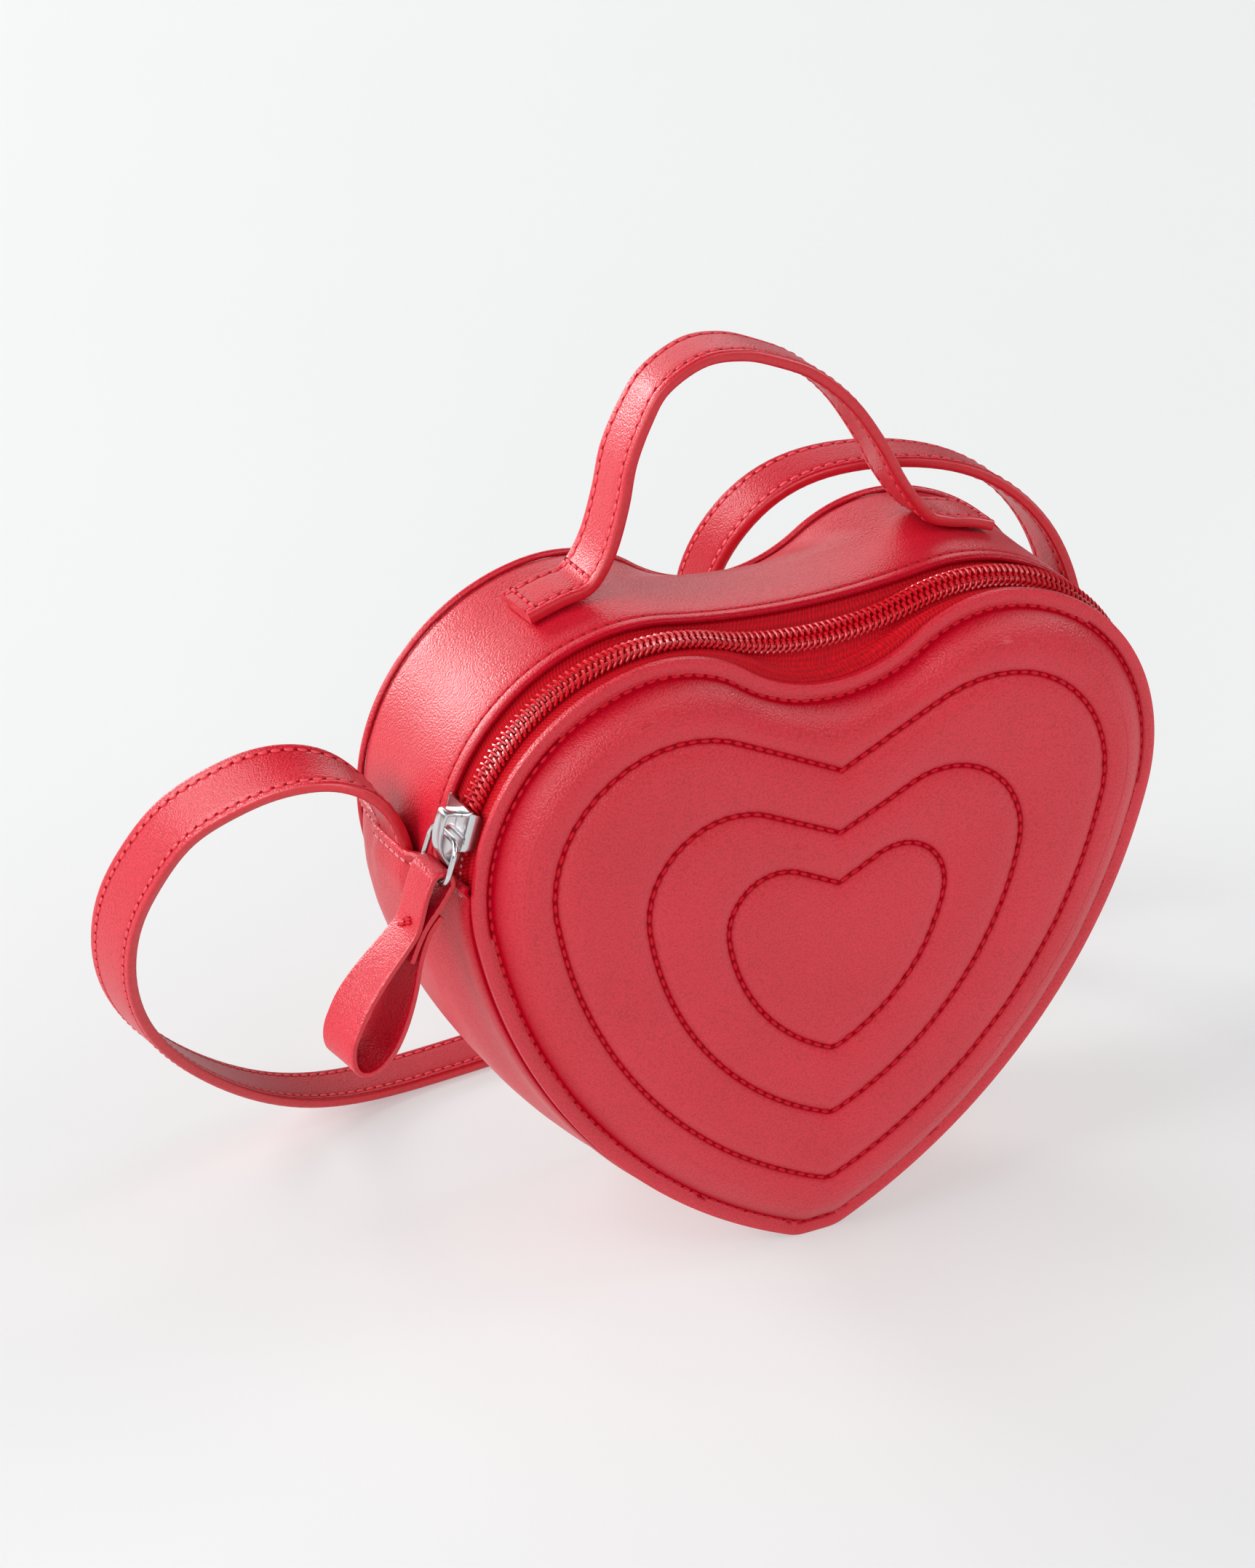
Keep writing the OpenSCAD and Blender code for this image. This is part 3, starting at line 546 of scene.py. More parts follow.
painted_shade = bm.verts.layers.float.new("painted_shade")
for v in bm.verts:
    if v.co.y < (FRONT_Y + 0.1) * MM:
        h, v[painted_shade] = pad_height(v.co)
        v.co.y -= h * MM
    # The turned-in edge behind the rim gets painted shade.
    elif v.co.y > (FRONT_Y + 1) * MM:
        v[painted_shade] = 0.5
front = piece("padded_front", bm, None, [red_leather],
    ["front_panel_lower", "front_panel_upper", "front_pad_lower", "front_pad_upper"])
front_tree = tree_of(front)

# %% [markdown]
# ## Stitches
# A stitch lies on the leather and dips into a hole at each end. A dark line in the colour would do from afar,
# but not from near, so each stitch is a small stretched sphere and each hole a flat sphere in a dark colour
# that is painted shade, set along a row at the machine's pitch.

# %% Sew a row of stitches
def along(row, pitch, start=0.5):
    """Places every pitch along the row, each with the direction of the row."""
    out, left = [], pitch * start * MM
    for a, b in zip(row, row[1:]):
        d = (b - a).length
        at = left
        while at < d:
            out.append((a.lerp(b, at / d), (b - a).normalized()))
            at += pitch * MM
        left = at - d
    return out


def ball(around, high, stretch):
    bm = bmesh.new()
    bmesh.ops.create_uvsphere(bm, u_segments=around, v_segments=high, radius=MM,
        matrix=Matrix.Diagonal((*stretch, 1)))
    bm.verts.index_update()
    return bm


stitch = ball(7, 6, (0.38, 0.46, 1.18))
bmesh.ops.rotate(stitch, verts=stitch.verts, matrix=Matrix.Rotation(pi / 2, 3, "Y"))
hole = ball(10, 4, (0.7, 0.58, 0.24))


def stamp(bm, shape, at):
    """Adds a copy of a small shape at the place that a matrix gives."""
    verts = [bm.verts.new(at @ v.co) for v in shape.verts]
    for f in shape.faces:
        bm.faces.new([verts[v.index] for v in f.verts])


def sew(thread, holes, places, lift=0.04, pitch=STITCH):
    for spot, t, n in places:
        side = n.cross(t).normalized()
        n = t.cross(side).normalized()
        turned = Matrix((t, side, n)).transposed().to_4x4()
        stamp(thread, stitch, Matrix.Translation(spot + n * lift * MM) @ turned)
        stamp(holes, hole, Matrix.Translation(spot + t * pitch / 2 * MM - n * 0.03 * MM) @ turned)


def pinned(places, tree, toward):
    """Drops each place onto a finished surface and takes its normal there."""
    out = []
    for spot, t in places:
        hit, n, _, _ = tree.ray_cast(spot - toward * 0.03, toward, 0.08)
        if hit:
            out.append((hit, t, n if n.dot(toward) < 0 else -n))
    return out


def sewn(name, thread, holes, body, floss=thread_red):
    return [piece(name + "_thread", thread, body, [floss]),
        piece(name + "_holes", holes, body, [painted_hole_shade])]


thread, holes = bmesh.new(), bmesh.new()
BACKWARD = Vector((0, 1, 0))
for row in [points(panel_arcs(-4.0, 2), FRONT_Y)] + quilt_rows:
    sew(thread, holes, pinned(along(row, STITCH), front_tree, BACKWARD))
front_sewing = sewn("front", thread, holes, None)
for made in [front] + front_sewing:
    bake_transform(made)

# %% [markdown]
# ## The boxed sides
# A band of leather runs round the heart between the front and the back. Its upper half
# carries the handle and its front edge is rolled under beside the zip; its lower half is
# plain. A cylinder could be bent to it, but the front and the back heart differ in size, so
# each row of the band is a heart at its own depth, read from its size, cleft and shoulder
# at three depths. Both halves turn in at the back alike.

# %% Rows of the upper gusset
FRONT_EDGE_Y, MIDDLE_Y, BACK_EDGE_Y = -13, 13.1, 27.45
sizes = [(FRONT_EDGE_Y, 1.0125), (MIDDLE_Y, 1.02), (BACK_EDGE_Y, BACK_SIZE)]
clefts = [(FRONT_EDGE_Y, 160.5), (MIDDLE_Y, 159.9), (BACK_EDGE_Y, 151.4)]
shoulders = [(FRONT_EDGE_Y, LOBE_R), (MIDDLE_Y, 42.9), (BACK_EDGE_Y, SHOULDER_R)]


def between(table, x):
    """Reads a table of (x, value) pairs, straight from one pair to the next."""
    return next(a[1] + (b[1] - a[1]) * (x - a[0]) / (b[0] - a[0])
        for a, b in zip(table, table[1:]) if x <= b[0])


def over_row(y, out):
    y = min(BACK_EDGE_Y, max(FRONT_EDGE_Y, y))
    size, cleft_z, shoulder_r = (between(table, y) for table in (sizes, clefts, shoulders))
    return heart_arcs(size, out, cleft_z + out, shoulder_r, "over", 2)


# %% [markdown]
# The rows are given by depth and offset. The edge is rolled in front of its seam, and the seam is a shallow
# valley that gets the darkest painted shade.

# %% Upper gusset
EDGE_SEAM_Y = -9.6
rolled_front = [(-7, -1.5), (-11, -1.5), (-12.4, -1.35), (-12.9, -0.8), (-12.9, -0.3), (-12.5, 0.08),
    (-11.8, 0.22), (-10.8, 0.22), (-10.1, 0.1), (EDGE_SEAM_Y, -0.12), (-9.2, 0.02), (-8.6, 0.12)]
top = [(-7, 0.2), (-4, 0.22), (0, 0.2), (5, 0.1)] + [(y, 0) for y in (9, 13.1, 17, 21, 24)]
turned_back = [(26.2, -0.05), (27, -0.3), (27.45, -0.8), (27.4, -1.3)]


bm, _, _ = loft([points(over_row(y, out), y) for y, out in rolled_front + top + turned_back])
painted_shade = bm.verts.layers.float.new("painted_shade")
for v in bm.verts:
    y = v.co.y / MM
    # Painted shade: darkest in the seam's valley, lighter on the rolled-under front edge and on the edge
    # turned in at the back.
    seam = 0.8 * exp(-abs(y - EDGE_SEAM_Y) / 0.35)
    v[painted_shade] = max(seam, 0.5 if y < -12.3 else 0, 0.5 if y > 27 else 0)
piece("upper_gusset", bm, "bag", [red_leather], ["gusset_upper"])
thread, holes = bmesh.new(), bmesh.new()
row = points(over_row(EDGE_SEAM_Y, -0.1), EDGE_SEAM_Y)
middle = Vector((0, EDGE_SEAM_Y, 90)) * MM
sew(thread, holes, [(spot, t, (spot - middle).normalized()) for spot, t in along(row, STITCH)])
sewn("gusset_edge", thread, holes, "bag")

# %% [markdown]
# The lower half ends at the sides in a rolled lip that laps over the upper half. It swells
# where the strap's ends are tucked under it, and its middle bellies out a little. It could
# be sculpted by hand, but a formula is easy to change and leaves room for the pull.

# %% The lower gusset's swell
STRAP_END_Y = {-1: 3.6, 1: 13.7}
LAP, LAP_HALF_WIDTH, LAP_FOOT_Z = 3.4, 11.5, 96
HALF_DEPTH, PULL_Y, PULL_ROOM = 27.6, -20, 0.6
BELLY = [(0, 0), (12, 0.8), (30, 4.0), (50, 5.6), (70, 6.0), (90, 6.2), (100, 5.6), (107, 4.2), (111, 2.6),
    (115, 1.2), (130, 0.8)]


def within(x):
    return min(1, max(0, x))


def ramp(x):
    """Climbs softly from 0 to 1."""
    x = within(x)
    return x * x * (3 - 2 * x)


def swell(p):
    """How far the lower gusset stands out at a point, in millimetres."""
    side, y, z = (1 if p.x > 0 else -1), p.y / MM, p.z / MM
    over_strap = ramp((LAP_HALF_WIDTH - abs(y - STRAP_END_Y[side])) / 4) * ramp((z - LAP_FOOT_Z) / 13)
    belly = between(BELLY, z) * (1 - min(1, abs(y) / HALF_DEPTH) ** 5) * (1 - 0.45 * over_strap)
    room_for_pull = 1 - PULL_ROOM * exp(-((y - PULL_Y) / 7) ** 2) * (side < 0)
    return max(0, LAP * over_strap + belly * room_for_pull)


# %% [markdown]
# The lip is part of the same rows: each row runs from seam to seam, and at both ends it goes
# on up the lip and turns in over the upper half. A lip of its own would leave a join.

# %% Lower gusset
LIP, FRONT_SEAM_Y = 4.2, -26.2
LAP_SEAM_Z = SEAM_Z + 2.6
LAP_STITCH = 2.6
lip_side = [(0.0, 0.2 * LIP), (0.0, 0.4 * LIP), (0.0, 0.58 * LIP), (0.3, 0.7 * LIP), (0.9, 0.84 * LIP),
    (1.25, LIP), (1.25, LIP + 0.6), (0.8, LIP + 1.25), (0.1, LIP + 1.4), (-0.4, LIP + 1.1)]
front_turn = [(-26.9, -1.2), (-27.1, -0.7), (-26.9, -0.25), (FRONT_SEAM_Y, 0), (-24.5, 0.05)]
flat = [(y, 0) for y in (-22, -19, -16, -12, -9, -7, -5, -2, 1, 4, 7, 10, 12, 14, 16, 18, 20, 22, 24, 25.3)]


def under_row(y, out):
    size = 1 + (BACK_SIZE - 1) * (y - FRONT_SEAM_Y) / (BACK_EDGE_Y - FRONT_SEAM_Y)
    return heart_arcs(size, out, size * CLEFT_Z + out, SHOULDER_R, "under", 2)


def lipped(y, out):
    """A row from seam to seam with the rolled lip at both of its ends."""
    row = points(under_row(y, out), y)
    deep = 1.6 if out > -0.2 else 0.4
    side = lip_side + [(-deep, LIP + 0.2), (-1.6 * deep, LIP - 2)]
    left = [row[-1] + Vector((-away, 0, rise)) * MM for away, rise in side]
    right = [Vector((-p.x, p.y, p.z)) for p in left]
    return list(reversed(right)) + row + left


bm, _, _ = loft([lipped(y, out) for y, out in front_turn + flat + turned_back])
painted_shade = bm.verts.layers.float.new("painted_shade")
for v in bm.verts:
    y, z = v.co.y / MM, v.co.z / MM
    # Painted shade along the lap's seam, in the front turn and on the edge turned in at the back.
    lap_seam = 0.75 * exp(-abs(z - LAP_SEAM_Z) / 0.35)
    v[painted_shade] = max(0.8 * exp(-abs(y + 27) / 0.6), 0.5 if y > 27 else 0, lap_seam)
    v.co.x += swell(v.co) * MM * (1 if v.co.x > 0 else -1) * min(1, abs(v.co.x) / 8 / MM)
lower = piece("lower_gusset", bm, "bag", [red_leather], ["gusset_lower"])
lower_tree = tree_of(lower)
thread, holes = bmesh.new(), bmesh.new()
for side in (-1, 1):
    row = [Vector((side * 120, y, LAP_SEAM_Z)) * MM for y in (-25, -12, 0, 12, 26)]
    spots = pinned(along(row, LAP_STITCH), lower_tree, Vector((-side, 0, 0)))
    sew(thread, holes, spots, pitch=LAP_STITCH)
sewn("side_seam", thread, holes, "bag", pale_thread)

# %% [markdown]
# ## The back
# The back is flat leather over a board, inside a thin round piping. The panel is a stack of
# hearts closed with a face. A single flat face would be lighter, but would not show the
# sewn valley round the edge.

# %% Back panel
INWARD = (0.92, 0.8, 0.6, 0.4, 0.2, 0.06)


def back_arcs(out, fine=2):
    return heart_arcs(BACK_SIZE, out, BACK_SIZE * CLEFT_Z + out, SHOULDER_R, fine=fine)


rows = [points(back_arcs(out), y) for out, y in ((-1.2, 27.7), (-1.15, 28.7), (-1.35, 28.95),
    (-1.8, 29.0), (-3.6, 28.98), (-4.0, 28.85), (-4.4, 28.98), (-8, 29.0))]
bm, first, last = loft(rows + shrunk(rows[-1], Vector((0, 29, 75)) * MM, INWARD))
for ring in (first, last):
    bmesh.ops.edgeloop_fill(bm, edges=ring)
painted_shade = bm.verts.layers.float.new("painted_shade")
for v in bm.verts:
    # Painted shade on the turned-in edge and in the sewn valley round the edge, where the panel lies below
    # its flat face.
    v[painted_shade] = 0.5 if v.co.y < 28.93 * MM else 0
piece("back_cover", bm, "bag", [red_leather], ["back_panel"])
thread, holes = bmesh.new(), bmesh.new()
sew(thread, holes, [(spot, t, BACKWARD) for spot, t in along(points(back_arcs(-4.0), 28.9), STITCH)])
sewn("back_edge", thread, holes, "bag")

# %% [markdown]
# The piping, the coil, the straps and the pull are each one section carried along a curve.
# A curve object with a bevel does this too, but the section's tilt is hard to steer. Here
# each step has its own frame, and a ring of edges is extruded from one to the next.

# %% Sweep a section along a row
def circle(radius, corners):
    angles = [a * pi / (corners / 2) for a in range(corners)]
    return [(radius * cos(angle), radius * sin(angle)) for angle in angles]


def swept(bm, section, frames, caps=True):
    """Extrudes a ring from frame to frame; each frame is a matrix."""
    made = bmesh.ops.create_circle(bm, segments=len(section), radius=MM)["verts"]
    for v, p in zip(made, section):
        v.co = frames[0] @ (Vector((p[0], p[1], 0)) * MM)
    corners = set(made)
    first = ring = [e for e in bm.edges if e.verts[0] in corners and e.verts[1] in corners]
    for a, b in zip(frames, frames[1:]):
        verts, ring = new_parts(bmesh.ops.extrude_edge_only(bm, edges=ring)["geom"])
        bmesh.ops.transform(bm, matrix=b @ a.inverted(), verts=list(verts))
    if caps:
        bmesh.ops.edgeloop_fill(bm, edges=first)
        bmesh.ops.edgeloop_fill(bm, edges=ring)
    return bm


def frame_at(spot, t, side):
    side = (side - t * side.dot(t)).normalized()
    return Matrix.Translation(spot) @ Matrix((side, side.cross(t), t)).transposed().to_4x4()


def frames_of(row, side, closed=False, twist=None):
    """A frame at each point: Z runs along the row and X keeps to the side, or to the twist's."""
    n = len(row) - 1
    before_first, after_last = (row[n - 1], row[1]) if closed else (row[0], row[n])
    out = []
    for i, p in enumerate(row):
        if twist:
            side = twist(i / n)
        a, b = (row[i - 1] if i else before_first), (row[i + 1] if i < n else after_last)
        out.append(frame_at(p, (b - a).normalized(), side))
    return out


# %% [markdown]
# The piping is a round cord in the seam round the back. Where the purse stands on the floor
# it is pressed flat.

# %% Piping
row = points(back_arcs(0.0), 28.35)
bm = swept(bmesh.new(), circle(0.85, 10), frames_of(row, BACKWARD, closed=True), caps=False)
for v in bm.verts:
    v.co.z = max(v.co.z, 0)
piece("back_piping", bm, "bag", [red_leather], ["back_welt"])

# %% [markdown]
# ## The zip's tapes
# Two woven tapes carry the chain. The front one climbs from under the rim and turns over a
# soft ridge; the back one runs flat and dives under the rolled edge. A pattern on the
# object's own coordinates would cut straight across them, so both keep an attribute named
# weave, the way along and across the tape, and the herringbone follows the curve.

# %% Tapes
CHAIN_Y, CHAIN_CLEFT_Z = -20, 155.5
TAPE, RIGHT_LEAN, CLEFT_LEAN = 0.5, radians(24), radians(34)
chain_row = points(heart_arcs(1, 0.2, CHAIN_CLEFT_Z, LOBE_R, "over", 2), CHAIN_Y)
chain_near = near(chain_row)
chain_length = [0.0]
for a, b in zip(chain_row, chain_row[1:]):
    chain_length.append(chain_length[-1] + (b - a).length)


def lean_at(p):
    """The chain leans to the front right of the cleft, and most in the cleft itself."""
    right_lobe = ramp((p.x / MM - 8) / 22)
    cleft = exp(-((p.x / MM - 1) / 20) ** 2) * (1 - right_lobe)
    return RIGHT_LEAN * right_lobe, CLEFT_LEAN * cleft


def tape(name, rows, body, replaced):
    """Each row is its depth, the heart's size and offset, its cleft and its shoulder."""
    bm, _, _ = loft([points(heart_arcs(size, out, cleft_z, shoulder_r, "over", 2), y)
        for y, size, out, cleft_z, shoulder_r in rows])
    for v in bm.verts:
        beside = v.co.y / MM - CHAIN_Y
        outward = (Vector((v.co.x, 0, v.co.z)) - Vector((LOBE.x, 0, LOBE.y)) * MM).normalized()
        reach = ramp((5.4 + beside) / 2.4) * (1 - ramp((beside - 3.4) / 2.2))
        v.co += outward * beside * reach * sin(lean_at(v.co)[0]) * MM
    woven = bm.verts.layers.float_vector.new("weave")
    for v in bm.verts:
        i = chain_near.find(Vector((v.co.x, chain_row[0].y, v.co.z)))[1]
        v[woven] = (chain_length[i], v.co.y + abs(v.co.z) * 1e-5, 0)
    return piece(name, bm, body, [herringbone], replaced, thick=TAPE * MM)


front_tape = tape("front_tape", [(-27.2, 1, -1.0, 146.7, 36), (-26.2, 1, -0.9, 147.3, 40),
    (-25.4, 1, -0.72, 148.2, 44), (-24.8, 1, -0.74, 149.1, 47), (-24.1, 1, -1.0, 149.7, 49),
    (-23.2, 1, -1.15, 150.8, 49.8), (-22, 1, -1.15, 152.4, 49.8), (-20.75, 1, -1.15, 154.1, 49.8)],
    None, ["zip_tape_front", "zip_tape_front_ends"])
tape("back_tape", [(-19.25, 1, -1.15, 154.15, 49.8), (-17.5, 1, -1.15, 154.15, 49.8),
    (-15.4, 1, -1.15, 154.15, 49.8), (-14.2, 1.003, -1.3, 155.4, 49.8), (-12.8, 1.0105, -1.7, 158.2, 49.8),
    (-11.8, 1.0125, -1.75, 158.75, 49.8), (-8.8, 1.0125, -1.75, 158.75, 49.8)], "bag", ["zip_tape_back"])

# %% [markdown]
# ## The coil
# A coil zip's teeth are the turns of one nylon filament. One turn is a small circle swept
# along a loop: under leg, head, upper leg and the bend to the next turn. An Array modifier
# on a curve would stretch the turns, so the turn is stamped along the chain at every pitch,
# and the back row is set half a turn further on. A cord runs through each row.

# %% Coil
TURN_PITCH, FILAMENT_R, CORE_R, CORE_OUT = 1.6, 0.42, 0.55, 1.75
BARE_END_Z = 122
turn_path = [Vector(p) * MM for p in ((0, 2.7, -0.72), (0, 1.5, -0.75), (0, 0.55, -0.55),
    (0, 0.08, 0.05), (0, 0.5, 0.62), (0.05, 1.4, 0.8), (0.3, 2.4, 0.72), (0.75, 2.78, 0.05),
    (1.3, 2.78, -0.6), (TURN_PITCH, 2.7, -0.72))]
turn_frames = frames_of(turn_path, Vector((1, 0, 0.01)))
one_turn = swept(bmesh.new(), circle(FILAMENT_R, 6), turn_frames, caps=False)
one_turn.verts.index_update()


def at_zip_end(p):
    """Below the slider's rest the left end of the chain is bare tape."""
    return p.x < 0 and p.z < BARE_END_Z * MM


def coil(name, side, phase, body, replaced):
    core = []
    for p, t in along(chain_row, 1.2):
        if not at_zip_end(p):
            lean = Matrix.Rotation(-sum(lean_at(p)), 3, t)
            core.append(p + lean @ Vector((0, side * CORE_OUT, 0)) * MM)
    bm = swept(bmesh.new(), circle(CORE_R, 6), frames_of(core, BACKWARD))
    for spot, t in along(chain_row, TURN_PITCH, phase):
        if at_zip_end(spot):
            continue
        lean = Matrix.Rotation(-sum(lean_at(spot)), 3, t)
        across, n = lean @ Vector((0, side, 0)), lean @ BACKWARD.cross(t)
        stamp(bm, one_turn, Matrix.Translation(spot) @ Matrix((t, across, n)).transposed().to_4x4())
    return piece(name, bm, body, [coil_nylon], replaced, merge=1e-7)


front_coil = coil("front_coil", -1, 0.25, None, ["zip_coil_front", "zip_coil_front_ends"])
coil("back_coil", 1, 0.75, "bag", ["zip_coil_back"])
for made in (front_tape, front_coil):
    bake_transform(made)

# %% [markdown]
# Below the slider's rest both tapes meet and are sewn together with a pale thread. A stripe
# in the tape's colour would be flat, and these stitches stand up and catch the light, so
# each one is a small ball.

# %% The zip's sewn end
low = [p for p in reversed(chain_row) if at_zip_end(p)]
dips = ((-3, 0), (-1.5, 0.25), (0, 0.3), (1.5, 0.25), (3, 0))
bm, _, _ = loft([[p + Vector((1.0 - dip, y, 0)) * MM for p in low] for y, dip in dips])
woven = bm.verts.layers.float_vector.new("weave")
for v in bm.verts:
    v[woven] = (v.co.z, v.co.y, 0)
piece("zip_end_tape", bm, "bag", [herringbone], thick=0.4 * MM)
thread = bmesh.new()
dot = ball(6, 5, (0.3, 0.3, 0.5))
for spot, t in along(low, 1.75, 0.6):
    stamp(thread, dot, Matrix.Translation(spot + Vector((0.5, -1.2, 0)) * MM))
piece("zip_end_thread", thread, "bag", [pale_thread])

# %% [markdown]
# ## Straps
# The handle and the shoulder strap are two layers of leather with painted edges, sewn along
# both sides. Their section is drawn once, pinched at the stitches, and carried along a
# smooth curve through the strap's points. Cloth would sag anew with every change, and a
# curve stays where the photograph shows it.

# %% Strap section and route
HALF_STRAP, STRAP_SEAM = 7.5, 5.4


def spline(p, i, t):
    n = len(p) - 1
    a, b, c, d = p[max(i - 1, 0)], p[i], p[i + 1], p[min(i + 2, n)]
    straight = 2 * b + (c - a) * t
    return 0.5 * (straight + (2 * a - 5 * b + 4 * c - d) * t * t + (3 * b - a - 3 * c + d) * t ** 3)


def route(p, n):
    """A smooth row through the points, with n steps from each to the next."""
    return [spline(p, i, k / n) for i in range(len(p) - 1) for k in range(n)] + [p[-1]]


def smoothed(row, passes):
    """Leather can't bend sharply: each point moves towards the middle of its neighbours."""
    for _ in range(passes):
        inner = [(a + 2 * b + c) / 4 for a, b, c in zip(row[2:], row[3:-3], row[4:])]
        row = row[:3] + inner + row[-3:]
    return row


upper = [(-HALF_STRAP, -0.3), (-7.45, -0.9), (-7.15, -1.25), (-6.7, -1.36), (-5.9, -1.32),
    (-STRAP_SEAM, -1.1), (-4.9, -1.3), (-4.2, -1.38), (-2.2, -1.4)]
upper += [(0, -1.4)] + [(-a, b) for a, b in reversed(upper)]
strap_section = upper + [(a, -b) for a, b in reversed(upper)]
print("strap section with", len(strap_section), "corners")

# %% [markdown]
# A strap's faces are leather and its cut edges are painted, so its narrow sides take the second material. Its
# stitch lines get painted shade, and one face can be given more painted shade, as the inside of a loop lies
# in shade.

# %% Strap and its sewing
def strap(name, row, replaced, twist, inner=0):
    """Sweeps a strap and gives its frames; inner is the side of its face that gets painted shade."""
    frames = frames_of(row, BACKWARD, twist=twist)
    bm = swept(bmesh.new(), strap_section, frames)
    bm.verts.index_update()
    painted_shade = bm.verts.layers.float.new("painted_shade")
    corners = len(strap_section)
    for v in bm.verts:
        a, b = strap_section[v.index % corners]
        # Painted shade on the stitch lines and on the inner face.
        v[painted_shade] = max(0.3 if abs(abs(a) - STRAP_SEAM) < 0.1 else 0, 0.45 if b * inner > 1 else 0)
    for f in bm.faces:
        if all(abs(strap_section[v.index % corners][0]) > 7.1 for v in f.verts):
            f.material_index = 1
    piece(name, bm, "bag", [red_leather, painted_edge], replaced)
    return frames


def sew_strap(name, frames, rows):
    thread, holes = bmesh.new(), bmesh.new()
    place = near([f.translation for f in frames])
    for row, side in rows:
        places = [(spot, t, side * frames[place.find(spot)[1]].col[1].to_3d())
            for spot, t in along(row, STITCH)]
        sew(thread, holes, places, lift=0.12)
    sewn(name, thread, holes, "bag", highlit_thread)


def edge_rows(frames):
    """Rows of stitches along both edges, on both faces."""
    return [([f @ (Vector((a, side * 1.12, 0)) * MM) for f in frames], side)
        for a in (-STRAP_SEAM, STRAP_SEAM) for side in (-1, 1)]


# %% [markdown]
# The handle rises from two flat feet in an arch that leans to the left. Its points are given as shares of its
# half span and its rise, and each foot is sewn across twice.

# %% Handle
HANDLE_HALF, HANDLE_RISE, HANDLE_Y, FOOT_Z, SAG = 61, 55, 9, 166.855, 1.2
FOOT_SEAMS = (1.9, 17.5)
handle_shares = [(-1, -0.074), (-0.86, -0.025), (-0.76, 0), (-0.7, 0.07), (-0.652, 0.18),
    (-0.61, 0.344), (-0.577, 0.533), (-0.511, 0.707), (-0.43, 0.835), (-0.275, 0.925),
    (-0.118, 0.925), (0.03, 0.871), (0.193, 0.78), (0.357, 0.616), (0.489, 0.398),
    (0.587, 0.205), (0.7, 0.04), (0.79, -0.01), (0.9, -0.037), (1, -0.074)]


def handle_point(x, z):
    height = FOOT_Z + HANDLE_RISE * z - SAG * ramp((z - 0.3) / 0.4)
    return Vector((HANDLE_HALF * x, HANDLE_Y, height)) * MM


def handle_side(k):
    return Vector((0.14 * exp(-((k - 0.45) / 0.1) ** 2), 1, 0))


handle_row = route([handle_point(x, z) for x, z in handle_shares], 6)
frames = strap("handle", handle_row, ["handle_face", "handle_backing"], handle_side)
rows = edge_rows(frames)
run = [0.0]
for a, b in zip(handle_row, handle_row[1:]):
    run.append(run[-1] + (b - a).length / MM)
for goal in FOOT_SEAMS:
    for way in (goal, run[-1] - goal):
        f = frames[min(range(len(run)), key=lambda i: abs(run[i] - way))]
        rows.append(([f @ (Vector((a, -1.36, 0)) * MM) for a in (-5.6, 0, 5.6)], -1))
sew_strap("handle", frames, rows)

# %% [markdown]
# The shoulder strap leaves the left side in a loop, runs along the floor behind the purse and comes back over
# the right side. Its points are given as shares of the purse's half width and height, and its hidden run is a
# guess.

# %% Shoulder strap
HALF_WIDTH, LYING_Z, TUCK = 90.1, 1.4, (0.3, 0, -3.5)
strap_shares = [(-1.039, 0.022, 0.683), (-1.055, 0.025, 0.734), (-1.099, 0.033, 0.782),
    (-1.171, 0.053, 0.811), (-1.254, 0.08, 0.818), (-1.343, 0.108, 0.806),
    (-1.431, 0.138, 0.776), (-1.532, 0.175, 0.727), (-1.605, 0.21, 0.65),
    (-1.654, 0.25, 0.56), (-1.654, 0.285, 0.45), (-1.587, 0.325, 0.34), (-1.453, 0.37, 0.235),
    (-1.255, 0.42, 0.13), (-1.04, 0.46, 0.055), (-0.807, 0.49, 0.0182), (-0.538, 0.51, 0.01),
    (-0.179, 0.53, 0.01), (0.269, 0.545, 0.01), (0.682, 0.55, 0.01), (0.986, 0.55, 0.024),
    (1.238, 0.55, 0.1), (1.327, 0.55, 0.22), (1.238, 0.54, 0.34), (1.004, 0.53, 0.42),
    (0.682, 0.51, 0.47), (0.404, 0.48, 0.54), (0.224, 0.44, 0.65), (0.138, 0.39, 0.79),
    (0.161, 0.345, 0.91), (0.269, 0.31, 1), (0.43, 0.285, 1.04), (0.637, 0.25, 1.045),
    (0.838, 0.225, 1.015), (0.985, 0.19, 0.947), (1.053, 0.155, 0.86), (1.062, 0.12, 0.77),
    (1.05, 0.095, 0.71), (1.043, 0.085, 0.683)]
strap_points = [Vector((x * HALF_WIDTH, y * HEART_H, max(z * HEART_H, LYING_Z))) * MM
    for x, y, z in strap_shares]
strap_row = smoothed(route(strap_points, 6), 10)
tuck = Vector(TUCK) * MM
strap_row = [strap_row[0] + tuck] + strap_row + [strap_row[-1] + tuck * Vector((-1, 1, 1))]


def strap_side(k):
    """The left loop turns its face to the front, and leans a little at its top."""
    at = k * (len(strap_shares) - 1)
    left, top = (exp(-((at - where) / span) ** 2) for where, span in ((8.6, 3.4), (5.0, 2.2)))
    return Vector((-0.3 * left - 0.06 * top, 1, 0.22 * top))


frames = strap("shoulder_strap", strap_row, ["strap_face", "strap_backing"], strap_side, inner=-1)
sew_strap("shoulder_strap", frames, edge_rows(frames))
print("strap length", round(row_length(strap_row), 3), "m")

# %% [markdown]
# ## Slider
# The slider is pressed from sheet: a top plate whose wide end is bent down at both sides, a
# smaller plate inside, a post between them and a crown that holds the ring. A box cut to
# shape would have straight corners, so the plates are grids that are pulled to the plate's
# outline, bent at the sides and then given a thickness.

